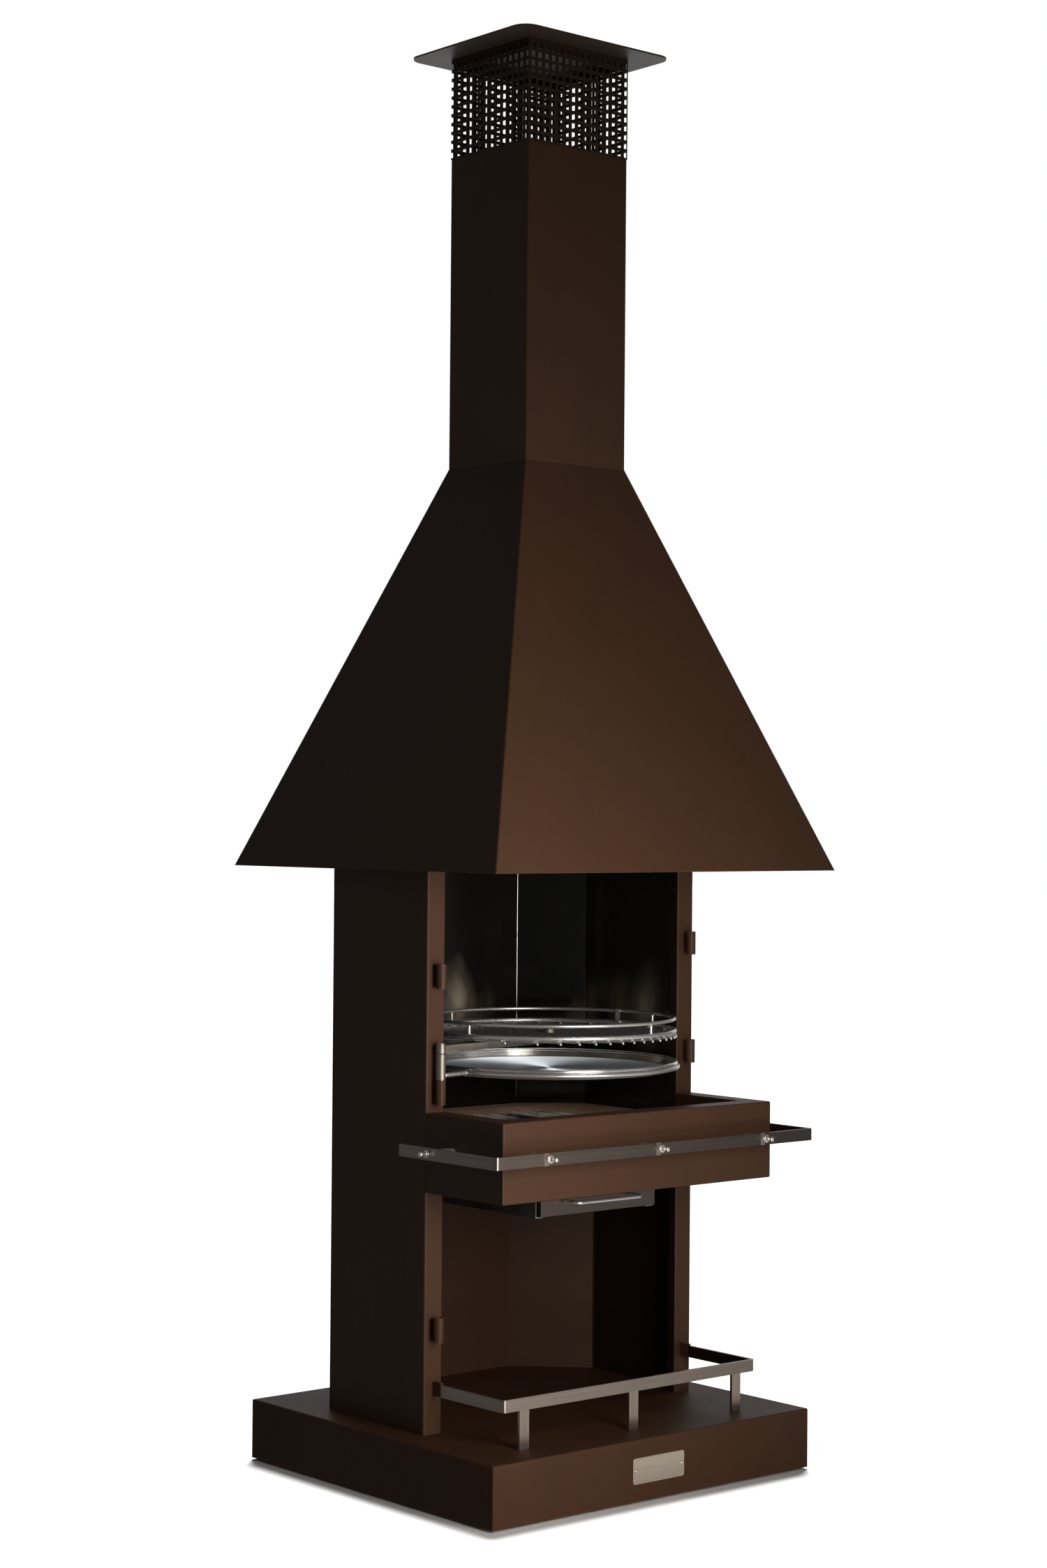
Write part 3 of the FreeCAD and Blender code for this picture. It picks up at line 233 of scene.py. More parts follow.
def liner_paint(name):
    """Glossy near-black stove enamel with faint bloom and soot, two painted bronze reflections, and painted shade on
    the angled sheet.
    """
    t = Mat(name)
    haze = t.noise(3.2, 4.0, 0.6, t.coords((1, 1, 0.6), (4, 1, 8)))
    col = t.ramp(haze, [(0.3, (0.0055, 0.0055, 0.0052)), (0.7, (0.0105, 0.0098, 0.0088))])
    soot = t.noise(14, 6.0, 0.7, t.coords((1, 1, 0.4), (2, 2, 0)))
    col = t.mix(t.ramp(soot, [(0.5, 0.0), (0.85, 0.5)]), col, (0.016, 0.013, 0.010))
    level = t.node("ShaderNodeMapRange", interpolation_type="SMOOTHSTEP")
    level.inputs["From Min"].default_value, level.inputs["From Max"].default_value = 0.085, 0.0
    t.link(t.math("ABSOLUTE", t.math("SUBTRACT", t.axis("Z"), 0.765)), level.inputs["Value"])
    bloom = t.ramp(t.noise(9.0, 3.0, 0.55, t.coords((1, 1, 0.5), (7, 3, 1))), [(0.50, 0.0), (0.66, 1.0)])
    heat = t.math("MULTIPLY", level.outputs[0], bloom)
    col = t.mix(t.math("MULTIPLY", heat, 0.8), col, (0.085, 0.062, 0.040))
    # Two painted bronze reflections: light bronze smears at two spots, ragged and broken up by noise.
    wisp = t.ramp(t.noise(34, 4.0, 0.6, t.coords((1, 1, 0.35), (1, 5, 2))), [(0.25, 0.55), (0.65, 1.0)])
    for at, k in (((0.022, 0.232, 0.775), 0.85), ((0.257, -0.008, 0.768), 0.30)):
        away = t.node("ShaderNodeVectorMath", operation="SUBTRACT")
        t.link(t.co.outputs["Object"], away.inputs[0])
        away.inputs[1].default_value = at
        scaled = t.node("ShaderNodeVectorMath", operation="MULTIPLY")
        t.link(away.outputs[0], scaled.inputs[0])
        scaled.inputs[1].default_value = (22.0, 22.0, 11.5)
        far = t.node("ShaderNodeVectorMath", operation="LENGTH")
        t.link(scaled.outputs[0], far.inputs[0])
        ragged = t.math("ADD", far.outputs["Value"], t.span(t.noise(26, 4.0, 0.6, t.coords((1, 1, 0.45), (4, 2, 9))), -0.34, 0.34))
        bronze_reflection = t.ramp(ragged, [(0.0, k), (0.3, k * 0.55), (0.6, k * 0.14), (1.0, 0.0)])
        col = t.mix(t.math("MULTIPLY", bronze_reflection, wisp), col, (0.58, 0.48, 0.37))
    # Painted shade: the angled sheet (faces turned to -x and -y) is darkened to 0.45 and made slightly glossier.
    geo = t.node("ShaderNodeNewGeometry")
    part = t.node("ShaderNodeSeparateXYZ")
    t.link(geo.outputs["True Normal"], part.inputs[0])
    angled_shade = t.math("MULTIPLY", t.math("LESS_THAN", part.outputs["X"], -0.3), t.math("LESS_THAN", part.outputs["Y"], -0.3))
    col = t.mix(angled_shade, col, t.mix(1.0, col, (0.45, 0.45, 0.45), "MULTIPLY"))
    t.link(col, t.b.inputs["Base Color"])
    marks = t.math("ADD", t.math("MULTIPLY", heat, 0.15), t.math("MULTIPLY", angled_shade, -0.05))
    t.link(t.math("ADD", t.math("ADD", t.span(haze, 0.08, 0.15), t.span(soot, 0.0, 0.07)), marks), t.b.inputs["Roughness"])
    t.bump((t.noise(4.5, 1.0, 0.4), 0.07, 0.003), (t.noise(420, 2.0, 0.5), 0.03, 0.0002))
    t.set(Specular_IOR_Level=0.26, IOR=1.5)
    return t.m


def brushed(name, lines=(9, 9, 1500), base=(0.54, 0.485, 0.435), rough=0.30, aniso=0.0, tint=0.0, bump=0.18, metal=1.0, side=1.0, pads=(), lit_falloff=None):
    """Ground stainless: fine lines along the grind, long soft bands, finger haze.
    aniso > 0 is ground level, aniso < 0 is ground upright; side darkens the faces turned
    to x as painted shade; pads are x places with a painted reflection beside a peg; lit_falloff is (x low, x high, k
    low, k high), a painted light falloff along x."""
    t = Mat(name)
    grain = t.noise(1.0, 3.0, 0.7, t.coords(lines))
    band = t.noise(1.0, 2.0, 0.5, t.coords(tuple(x * 0.16 for x in lines), (5, 3, 1)))
    smear = t.noise(24, 4.0, 0.6, t.coords((1, 1, 1), (7, 7, 7)))
    dark = tuple(x * 0.72 for x in base)
    col = t.mix(t.ramp(grain, [(0.30, 0.0), (0.70, 1.0)]), dark, base)
    col = t.mix(t.ramp(band, [(0.35, 0.0), (0.75, 0.35)]), col, tuple(min(1.0, x * 1.22) for x in base))
    col = t.mix(t.ramp(smear, [(0.5, 0.0), (0.8, 0.25)]), col, tuple(x * 0.8 for x in base))
    if tint:
        heat = t.noise(17, 5.0, 0.65, t.coords((1, 1, 1), (1, 9, 3)), 1.2)
        hue = t.ramp(heat, [(0.25, (0.50, 0.42, 0.33)), (0.45, (0.33, 0.26, 0.20)), (0.6, (0.60, 0.55, 0.50)), (0.8, (0.20, 0.18, 0.19))])
        col = t.mix(tint, col, hue)
    # Painted shade: faces turned to x are darkened by side.
    if side != 1.0:
        gn = t.node("ShaderNodeNewGeometry")
        gs = t.node("ShaderNodeSeparateXYZ")
        t.link(gn.outputs["True Normal"], gs.inputs[0])
        turned = t.math("GREATER_THAN", t.math("ABSOLUTE", gs.outputs["X"]), 0.7)
        col = t.mix(turned, col, t.mix(1.0, col, (side, side, side), "MULTIPLY"))
    # Painted light falloff: the colour is scaled from k low to k high along x.
    if lit_falloff:
        mr = t.node("ShaderNodeMapRange")
        mr.inputs["From Min"].default_value, mr.inputs["From Max"].default_value = lit_falloff[0], lit_falloff[1]
        mr.inputs["To Min"].default_value, mr.inputs["To Max"].default_value = lit_falloff[2], lit_falloff[3]
        t.link(t.axis("X"), mr.inputs["Value"])
        col = t.mix(1.0, col, mr.outputs[0], "MULTIPLY")
    # Painted reflection: a light patch beside each peg.
    for px in pads:
        near = t.math("ABSOLUTE", t.math("SUBTRACT", t.axis("X"), px))
        peg_reflection = t.ramp(t.math("MULTIPLY", near, 100.0), [(0.42, 0.75), (0.58, 0.0)])
        col = t.mix(peg_reflection, col, (0.62, 0.53, 0.45))
    t.link(col, t.b.inputs["Base Color"])
    r = t.math("ADD", t.span(grain, rough - 0.07, rough + 0.07), t.span(smear, -0.04, 0.08))
    t.link(r, t.b.inputs["Roughness"])
    t.bump((grain, bump, 0.00012), (t.noise(30, 2.0, 0.5), 0.05, 0.0006))
    t.set(Metallic=metal, Anisotropic=abs(aniso))
    if aniso:
        geo = t.node("ShaderNodeNewGeometry")
        if aniso > 0:
            up = t.node("ShaderNodeCombineXYZ")
            up.inputs[0].default_value, up.inputs[1].default_value, up.inputs[2].default_value = 0.02, 0.03, 1.0
            t.link(up.outputs[0], t.b.inputs["Tangent"])
        else:
            cr = t.node("ShaderNodeVectorMath", operation="CROSS_PRODUCT")
            t.link(geo.outputs["Normal"], cr.inputs[0])
            cr.inputs[1].default_value = (0.02, 0.03, 1.0)
            t.link(cr.outputs[0], t.b.inputs["Tangent"])
    return t.m


def polished(name, base=(0.70, 0.67, 0.64), rough=0.21, lines=700, metal=1.0):
    """Drawn bright stainless rod: nearly mirror, faint draw marks and small scuffs."""
    t = Mat(name)
    fine = t.noise(lines, 3.0, 0.65)
    scuff = t.noise(60, 5.0, 0.7, t.coords((1, 1, 1), (2, 6, 1)))
    col = t.mix(t.ramp(scuff, [(0.45, 0.0), (0.75, 0.45)]), base, tuple(x * 0.72 for x in base))
    t.link(col, t.b.inputs["Base Color"])
    t.link(t.math("ADD", t.span(fine, rough - 0.04, rough + 0.05), t.ramp(scuff, [(0.5, 0.0), (0.85, 0.14)])), t.b.inputs["Roughness"])
    t.bump((fine, 0.07, 0.00008), (t.noise(110, 2.0, 0.5), 0.05, 0.0004))
    t.set(Metallic=metal)
    return t.m


def spun(name, centre, base=(0.88, 0.875, 0.87), rough=0.25, aniso=0.85):
    """Spun stainless: fine rings about the centre, with wiped patches, a painted gold reflection on the wall and a
    painted cool reflection on the floor.
    """
    t = Mat(name)
    sub = t.node("ShaderNodeVectorMath", operation="SUBTRACT")
    t.link(t.co.outputs["Object"], sub.inputs[0])
    sub.inputs[1].default_value = (centre[0], centre[1], 0)
    flat = t.node("ShaderNodeVectorMath", operation="MULTIPLY")
    t.link(sub.outputs[0], flat.inputs[0])
    flat.inputs[1].default_value = (1, 1, 0)
    ln = t.node("ShaderNodeVectorMath", operation="LENGTH")
    t.link(flat.outputs[0], ln.inputs[0])
    comb = t.node("ShaderNodeCombineXYZ")
    t.link(t.math("MULTIPLY", ln.outputs["Value"], 700.0), comb.inputs[0])
    t.link(t.math("MULTIPLY", t.axis("Z"), 900.0), comb.inputs[1])
    ring = t.noise(1.0, 3.0, 0.7, comb.outputs[0])
    comb2 = t.node("ShaderNodeCombineXYZ")
    t.link(t.math("MULTIPLY", ln.outputs["Value"], 130.0), comb2.inputs[0])
    wide = t.noise(1.0, 2.0, 0.5, comb2.outputs[0])
    wipe = t.noise(9, 5.0, 0.65, t.coords((1, 1, 1), (3, 8, 5)))
    col = t.mix(t.ramp(ring, [(0.3, 0.0), (0.7, 1.0)]), tuple(x * 0.74 for x in base), base)
    col = t.mix(t.ramp(wide, [(0.4, 0.0), (0.7, 0.3)]), col, tuple(min(1.0, x * 1.25) for x in base))
    col = t.mix(t.ramp(wipe, [(0.5, 0.0), (0.8, 0.4)]), col, tuple(x * 0.80 for x in base))
    t.link(col, t.b.inputs["Base Color"])
    geo = t.node("ShaderNodeNewGeometry")
    part = t.node("ShaderNodeSeparateXYZ")
    t.link(geo.outputs["True Normal"], part.inputs[0])
    floor = t.math("GREATER_THAN", part.outputs["Z"], 0.92)
    # Painted gold reflection: wall faces towards +x are tinted gold.
    gold_reflection_span = t.node("ShaderNodeMapRange", interpolation_type="SMOOTHSTEP")
    gold_reflection_span.inputs["From Min"].default_value, gold_reflection_span.inputs["From Max"].default_value = 0.03, 0.16
    t.link(t.axis("X"), gold_reflection_span.inputs["Value"])
    gold_reflection = t.math("MULTIPLY", gold_reflection_span.outputs[0], t.math("SUBTRACT", 1.0, floor))
    col = t.mix(t.math("MULTIPLY", gold_reflection, 0.75), col, t.mix(1.0, col, (1.0, 0.86, 0.62), "MULTIPLY"))
    # Painted cool reflection: the upward floor faces are tinted blue-grey.
    col = t.mix(floor, col, t.mix(1.0, col, (0.93, 0.97, 1.0), "MULTIPLY"))
    t.link(col, t.b.inputs["Base Color"])
    base_r = t.span(floor, rough, 0.40)
    t.link(t.math("ADD", t.math("ADD", base_r, t.span(ring, -0.06, 0.06)), t.span(wipe, -0.03, 0.07)), t.b.inputs["Roughness"])
    t.bump((ring, 0.02, 0.00006), (wide, 0.03, 0.0002))
    t.set(Metallic=0.94, Anisotropic=aniso)
    tan = t.node("ShaderNodeTangent", direction_type="RADIAL", axis="Z")
    t.link(tan.outputs[0], t.b.inputs["Tangent"])
    t.b.inputs["Anisotropic Rotation"].default_value = 0.25
    return t.m


def hearth_steel(name):
    """Bare hearth sheet, dulled by fire: warm grey mill scale with ash dust, and painted highlights along its creases.
    """
    t = Mat(name)
    scale = t.noise(11, 6.0, 0.68, None, 0.6)
    col = t.ramp(scale, [(0.28, (0.090, 0.070, 0.054)), (0.5, (0.165, 0.132, 0.104)), (0.75, (0.240, 0.198, 0.160))])
    streak = t.noise(1.0, 3.0, 0.6, t.coords((260, 14, 60), (1, 1, 1)))
    col = t.mix(t.ramp(streak, [(0.45, 0.0), (0.75, 0.4)]), col, (0.290, 0.242, 0.198))
    speck = t.noise(170, 3.0, 0.6)
    col = t.mix(t.ramp(speck, [(0.62, 0.0), (0.72, 0.6)]), col, (0.020, 0.016, 0.013))
    # Painted highlight: lighter lines along the plate's creases, found with a bevel normal.
    bev = t.node("ShaderNodeBevel", samples=4)
    bev.inputs["Radius"].default_value = 0.0026
    geo = t.node("ShaderNodeNewGeometry")
    dot = t.node("ShaderNodeVectorMath", operation="DOT_PRODUCT")
    t.link(bev.outputs[0], dot.inputs[0])
    t.link(geo.outputs["True Normal"], dot.inputs[1])
    crease_highlight = t.node("ShaderNodeMapRange")
    crease_highlight.inputs["From Min"].default_value, crease_highlight.inputs["From Max"].default_value = 0.9998, 0.9990
    t.link(dot.outputs["Value"], crease_highlight.inputs["Value"])
    col = t.mix(t.math("MULTIPLY", crease_highlight.outputs[0], 0.6), col, (0.48, 0.41, 0.34))
    col = t.mix(1.0, col, (0.94, 0.78, 0.64), "MULTIPLY")
    t.link(col, t.b.inputs["Base Color"])
    t.link(t.span(scale, 0.42, 0.66), t.b.inputs["Roughness"])
    t.bump((scale, 0.22, 0.0008), (speck, 0.16, 0.0003))
    t.set(Metallic=0.25, Specular_IOR_Level=0.45)
    return t.m


def cast_bar(name):
    """Blackened round bar with light rubbed patches, brightened to serve also as painted glints."""
    t = Mat(name)
    pit = t.noise(120, 5.0, 0.7)
    rub_and_glint = t.noise(38, 4.0, 0.6, t.coords((1, 0.25, 1), (2, 3, 4)))
    col = t.mix(t.ramp(rub_and_glint, [(0.42, 0.0), (0.62, 0.8)]), (0.034, 0.030, 0.026), (0.62, 0.58, 0.54))
    col = t.mix(t.ramp(pit, [(0.58, 0.0), (0.7, 0.8)]), col, (0.018, 0.014, 0.011))
    t.link(col, t.b.inputs["Base Color"])
    t.link(t.span(rub_and_glint, 0.55, 0.25), t.b.inputs["Roughness"])
    t.bump((pit, 0.3, 0.0004))
    t.set(Metallic=0.8)
    return t.m


def rubber(name):
    t = Mat(name)
    g = t.noise(500, 3.0, 0.6)
    dust = t.noise(40, 4.0, 0.6)
    col = t.mix(t.ramp(dust, [(0.45, 0.0), (0.8, 0.6)]), (0.012, 0.012, 0.012), (0.045, 0.042, 0.038))
    t.link(col, t.b.inputs["Base Color"])
    t.link(t.span(g, 0.66, 0.86), t.b.inputs["Roughness"])
    t.bump((g, 0.3, 0.0003))
    return t.m


P_BODY = paint("paint_brown")
# P_CAP carries a painted neutral sheen; P_PLINTH, P_LEFT, P_RIGHT and P_LEDGE are shaded copies with painted shade on
# faces turned the listed ways.
P_CAP = paint("paint_brown_cap", rough=0.42, gloss=0.5, grey=0.55)
P_PLINTH = paint("paint_brown_plinth", rough=0.52, gloss=0.18, shade=(("Z", 1, 0.72),))
P_LEFT = paint("paint_brown_left", shade=(("X", 1, 0.45), ("X", -1, 0.80)))
P_RIGHT = paint("paint_brown_right", shade=(("X", -1, 0.16),))
P_LEDGE = paint("paint_brown_ledge", shade=(("X", -1, 0.60),))
P_SCREEN = paint("paint_brown_screen", tone=0.55, rub_and_glint_level=0.2)
# P_INSIDE is toned darker: painted shade inside the column.
P_INSIDE = paint("paint_brown_inside", tone=0.72, rub_and_glint_level=0.5, rough=0.52)
LINER = liner_paint("liner_enamel")
HEARTH = hearth_steel("hearth_steel")
BAR = cast_bar("ash_bar")
RUBBER = rubber("rubber_black")
# S_RAIL and S_LOWER carry a painted light falloff along x, S_RAIL painted reflections beside its pegs, and S_DRAWER and
# S_LOWER painted shade on their x-facing sides.
S_RAIL = brushed("stainless_rail", (9, 9, 1500), base=(0.205, 0.172, 0.149), aniso=0.45, pads=(-0.2485, -0.0085, 0.2315), lit_falloff=(-0.30, 0.28, 1.35, 0.75))
S_POST = brushed("stainless_post", (1500, 1500, 9), base=(0.36, 0.305, 0.262), aniso=-0.6)
S_DRAWER = brushed("stainless_drawer", (10, 10, 1300), base=(0.185, 0.155, 0.133), rough=0.33, aniso=0.4, side=0.22)
S_LOWER = brushed("stainless_rail_lower", (9, 9, 1500), base=(0.42, 0.358, 0.309), aniso=0.45, side=0.75, lit_falloff=(-0.28, 0.28, 1.15, 0.72))
S_TUBE = brushed("stainless_tube", (30, 30, 1100), base=(0.30, 0.265, 0.225), rough=0.46)
S_ARM = brushed("stainless_arm", (8, 8, 900), base=(0.42, 0.37, 0.32), rough=0.36, tint=0.5)
S_PLATE = brushed("stainless_plate", (10, 10, 1900), base=(0.74, 0.64, 0.53), rough=0.30, aniso=0.4, metal=0.75)
S_INNER = brushed("galvanised_inner", (60, 60, 60), base=(0.34, 0.32, 0.30), rough=0.42)
BRIGHT = polished("stainless_rod", base=(0.72, 0.70, 0.68), rough=0.27, metal=0.86)
SEAM = polished("seam_edge", base=(0.62, 0.60, 0.56), rough=0.22, lines=300)


def dress(node, mat):
    o = N[node]
    if not o.material_slots:
        o.data.materials.append(mat)
    for s in o.material_slots:
        s.link = "OBJECT"
        s.material = mat


dress("column_side_left", P_LEFT)
dress("column_side_right", P_RIGHT)
dress("cap_plate", P_CAP)
dress("plinth", P_PLINTH)
dress("front_ledge", P_LEDGE)
for n_ in ( "hood", "chimney",
           "rail_tabs", "sleeve_lower_left", "sleeve_upper_left", "sleeve_base_left", "sleeve_lower_right",
           "sleeve_upper_right"):
    dress(n_, P_BODY)
for n_ in ("column_back",):
    dress(n_, P_INSIDE)
for n_ in ("spark_screen", "screen_lip"):
    dress(n_, P_SCREEN)
for n_ in ("liner_left", "liner_right", "liner_back"):
    dress(n_, LINER)
for n_ in ("ash_chute", "chute_flange", "drawer_runners", "hood_gussets", "chimney_spigot", "screen_spigot"):
    dress(n_, S_INNER)
dress("hearth_plate", HEARTH)
dress("ash_grate", BAR)
dress("rubber_pads", RUBBER)
dress("upper_rail", S_RAIL)
dress("lower_rail", S_LOWER)
dress("lower_rail_posts", S_POST)
dress("rail_standoffs", BRIGHT)
dress("utensil_pegs", BRIGHT)
dress("ash_drawer", S_DRAWER)
dress("drawer_handle", BRIGHT)
dress("pivot_pin", BRIGHT)
dress("pan_arm", BRIGHT)
dress("fire_pan", BRIGHT)
dress("grate_arm", S_ARM)
dress("grill_grate", BRIGHT)
dress("guard_ring", BRIGHT)
dress("guard_posts", BRIGHT)
dress("name_plate", S_PLATE)
dress("plate_screws", BRIGHT)

# ------------------------------------------------------------------ mesh kit


def obj_from(bm, name, mat, angle=35):
    me = bpy.data.meshes.new(name)
    bmesh.ops.recalc_face_normals(bm, faces=bm.faces)
    bm.to_mesh(me)
    bm.free()
    me.shade_smooth()
    me.set_sharp_from_angle(angle=math.radians(angle))
    o = bpy.data.objects.new(name, me)
    scene.collection.objects.link(o)
    me.materials.append(mat)
    return o


def add_lathe(bm, profile, at, axis=(0, 0, 1), segs=48, closed=False):
    """Turn a profile of (radius, distance) about an axis through at."""
    z = Vector(axis).normalized()
    x = z.orthogonal().normalized()
    y = z.cross(x)
    at = Vector(at)
    rings = []
    for r, d in profile:
        if r < 1e-7:
            rings.append([bm.verts.new(at + z * d)])
        else:
            rings.append([bm.verts.new(at + z * d + (x * math.cos(a) + y * math.sin(a)) * r)
                          for a in (2 * math.pi * k / segs for k in range(segs))])
    pairs = list(zip(rings, rings[1:]))
    if closed:
        pairs.append((rings[-1], rings[0]))
    for a, b in pairs:
        for k in range(segs):
            q = (k + 1) % segs
            if len(a) == 1 and len(b) == 1:
                continue
            if len(a) == 1:
                bm.faces.new((a[0], b[k], b[q]))
            elif len(b) == 1:
                bm.faces.new((a[k], a[q], b[0]))
            else:
                bm.faces.new((a[k], a[q], b[q], b[k]))


def add_tube(bm, pts, rad, segs=14, closed=False, dome=True):
    """A round rod along pts, with domed ends."""
    pts = [Vector(p) for p in pts]
    n = len(pts)
    tang = []
    for i in range(n):
        a = pts[(i - 1) % n] if closed or i > 0 else pts[i]
        b = pts[(i + 1) % n] if closed or i < n - 1 else pts[i]
        tang.append((b - a).normalized())
    nor = tang[0].orthogonal().normalized()
    rings = []
    stations = [(pts[i], tang[i], rad) for i in range(n)]
    if dome and not closed:
        head = [(pts[0] - tang[0] * rad * math.sin(a), tang[0], rad * math.cos(a)) for a in (1.35, 1.0, 0.5)]
        tail = [(pts[-1] + tang[-1] * rad * math.sin(a), tang[-1], rad * math.cos(a)) for a in (0.5, 1.0, 1.35)]
        stations = head + stations + tail
    for p, t, r in stations:
        nor = (nor - t * nor.dot(t)).normalized()
        bi = t.cross(nor)
        rings.append([bm.verts.new(p + (nor * math.cos(a) + bi * math.sin(a)) * r)
                      for a in (2 * math.pi * k / segs for k in range(segs))])
    pairs = list(zip(rings, rings[1:]))
    if closed:
        pairs.append((rings[-1], rings[0]))
    for a, b in pairs:
        for k in range(segs):
            q = (k + 1) % segs
            bm.faces.new((a[k], a[q], b[q], b[k]))
    if not closed:
        bm.faces.new(rings[0][::-1])
        bm.faces.new(rings[-1])


def add_ring(bm, centre, z, rad, rod, segs=180, sides=18):
    prof = [(rad + rod * math.cos(a), z + rod * math.sin(a)) for a in (2 * math.pi * k / sides for k in range(sides))]
    add_lathe(bm, prof, (centre[0], centre[1], 0), segs=segs, closed=True)


def add_block(bm, lo, hi, bevel=0.0, matrix=None, segs=2):
    """A rectangular bar with eased edges."""
    lo, hi = Vector(lo), Vector(hi)
    made = bmesh.ops.create_cube(bm, size=1.0)
    vs = made["verts"]
    bmesh.ops.scale(bm, vec=hi - lo, verts=vs)
    bmesh.ops.translate(bm, vec=(lo + hi) / 2, verts=vs)
    if matrix is not None:
        bmesh.ops.transform(bm, matrix=matrix, verts=vs)
    if bevel:
        edges = list({e for v in vs for e in v.link_edges})
        bmesh.ops.bevel(bm, geom=edges, offset=bevel, segments=segs, profile=0.6, affect="EDGES")


def bead(bm, at, axis, r_in, size, segs=28, wob=0.18, seed=1):
    """A weld bead round a rod: a small lumpy ring."""
    z = Vector(axis).normalized()
    x = z.orthogonal().normalized()
    y = z.cross(x)
    at = Vector(at)
    rings = []
    for k in range(segs):
        a = 2 * math.pi * k / segs
        w = 1 + wob * math.sin(a * 7 + seed) + wob * 0.6 * math.sin(a * 11 + seed * 2.3)
        c = at + (x * math.cos(a) + y * math.sin(a)) * r_in
        d = (x * math.cos(a) + y * math.sin(a))
        rings.append([bm.verts.new(c + d * size * w * math.cos(b) + z * size * w * math.sin(b))
                      for b in (2 * math.pi * j / 8 for j in range(8))])
    for k in range(segs):
        a, b = rings[k], rings[(k + 1) % segs]
        for j in range(8):
            q = (j + 1) % 8
            bm.faces.new((a[j], a[q], b[q], b[j]))


# ------------------------------------------------------------------ cooking gear

pan_lo, pan_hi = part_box("fire_pan")
ring_lo, ring_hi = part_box("guard_ring")
grill_lo, grill_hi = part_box("grill_grate")
pin_lo, pin_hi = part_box("pivot_pin")
parm_lo, parm_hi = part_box("pan_arm")
garm_lo, garm_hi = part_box("grate_arm")
CX = (pan_lo.x + pan_hi.x) / 2
CY = (pan_lo.y + pan_hi.y) / 2
PX = (pin_lo.x + pin_hi.x) / 2
PY = (pin_lo.y + pin_hi.y) / 2
C = (CX, CY)
arm = Vector((CX - PX, CY - PY, 0))
reach = arm.length
ux, uy = arm.normalized().x, arm.normalized().y

# fire pan, turned from its section
z0 = pan_lo.z
rim_r, rim_rod, rim_z = 0.2175, 0.003, pan_hi.z - 0.003
prof = [(0.0, z0 + 0.0020), (0.120, z0 + 0.0020), (0.1985, z0 + 0.0021), (0.2005, z0 + 0.0024), (0.2030, z0 + 0.0032),
        (0.2055, z0 + 0.0024), (0.2075, z0 + 0.0021), (0.2094, z0 + 0.0022), (0.2106, z0 + 0.0029), (0.2113, z0 + 0.0042),
        (0.2117, z0 + 0.0060), (0.2138, z0 + 0.0125)]
for a in range(200, -161, -20):
    t = math.radians(a)
    prof.append((rim_r + rim_rod * math.cos(t), rim_z + rim_rod * math.sin(t)))
prof += [(0.2152, z0 + 0.0100), (0.2146, z0 + 0.0065), (0.2140, z0 + 0.0042), (0.2128, z0 + 0.0020), (0.2110, z0 + 0.0006),
         (0.2090, z0), (0.120, z0), (0.0, z0)]
bm = bmesh.new()
add_lathe(bm, [(r, z - z0) for r, z in prof], (0, 0, 0), segs=220)
pan = obj_from(bm, "fire_pan_spun", spun("spun_pan", (0, 0)), 40)
pan.location = (CX, CY, z0)
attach(pan, "fire_pan")
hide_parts("fire_pan")

# pan arm: carrying ring, rod and tube
bm = bmesh.new()
ring_z = z0 + 0.007
add_ring(bm, C, ring_z, 0.2203, 0.00375, 220, 20)
p0 = Vector((PX + ux * 0.006, PY + uy * 0.006, ring_z))
p1 = Vector((CX - ux * 0.2206, CY - uy * 0.2206, ring_z))
add_tube(bm, [p0.lerp(p1, k / 6) for k in range(7)], 0.004, 18, dome=False)
bead(bm, p0 + Vector((ux, uy, 0)) * 0.0028, (ux, uy, 0), 0.0044, 0.0012, seed=2)
bead(bm, p1 - Vector((ux, uy, 0)) * 0.0036, (ux, uy, 0), 0.0041, 0.0012, seed=5)
pan_arm = obj_from(bm, "pan_arm_rod_ring", BRIGHT)
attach(pan_arm, "pan_arm")
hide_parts("pan_arm")
bm = bmesh.new()
tz0, tz1 = parm_lo.z, parm_hi.z
add_lathe(bm, [(0.00615, tz0), (0.0073, tz0), (0.0080, tz0 + 0.0007), (0.0080, tz1 - 0.0007), (0.0073, tz1),
               (0.00615, tz1)], (PX, PY, 0), segs=56, closed=True)
tube1 = obj_from(bm, "pan_arm_tube", S_TUBE)
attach(tube1, "pan_arm")

# grate arm: tube, flat bar on edge and turning pin
bm = bmesh.new()
gz0 = garm_lo.z
gz1 = gz0 + 0.0156
add_lathe(bm, [(0.00615, gz0), (0.0073, gz0), (0.0080, gz0 + 0.0007), (0.0080, gz1 - 0.0007), (0.0073, gz1),
               (0.00615, gz1)], (PX, PY, 0), segs=56, closed=True)
tube2 = obj_from(bm, "grate_arm_tube", S_TUBE)
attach(tube2, "grate_arm")
bm = bmesh.new()
turn = Matrix.Translation((PX, PY, 0)) @ Matrix.Rotation(math.atan2(uy, ux), 4, "Z")
bar_top = gz0 + 0.0132
add_block(bm, (0.0075, -0.004, gz0 + 0.0012), (reach + 0.0100, 0.004, bar_top), 0.0007, turn)
add_lathe(bm, [(0.0, bar_top - 0.001), (0.0050, bar_top - 0.001), (0.0050, garm_hi.z - 0.0008), (0.0042, garm_hi.z),
               (0.0, garm_hi.z)], (CX, CY, 0), segs=36)
bar = obj_from(bm, "grate_arm_bar", S_ARM)
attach(bar, "grate_arm")
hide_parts("grate_arm")

# pivot pin with a domed head
bm = bmesh.new()
add_lathe(bm, [(0.0, pin_lo.z), (0.0052, pin_lo.z), (0.0060, pin_lo.z + 0.0008), (0.0060, pin_hi.z - 0.0018),
               (0.0056, pin_hi.z - 0.0009), (0.0045, pin_hi.z - 0.0003), (0.0028, pin_hi.z), (0.0, pin_hi.z + 0.0001)],
          (PX, PY, 0), segs=48)
pin = obj_from(bm, "pivot_pin_turned", BRIGHT)
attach(pin, "root")
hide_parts("pivot_pin")

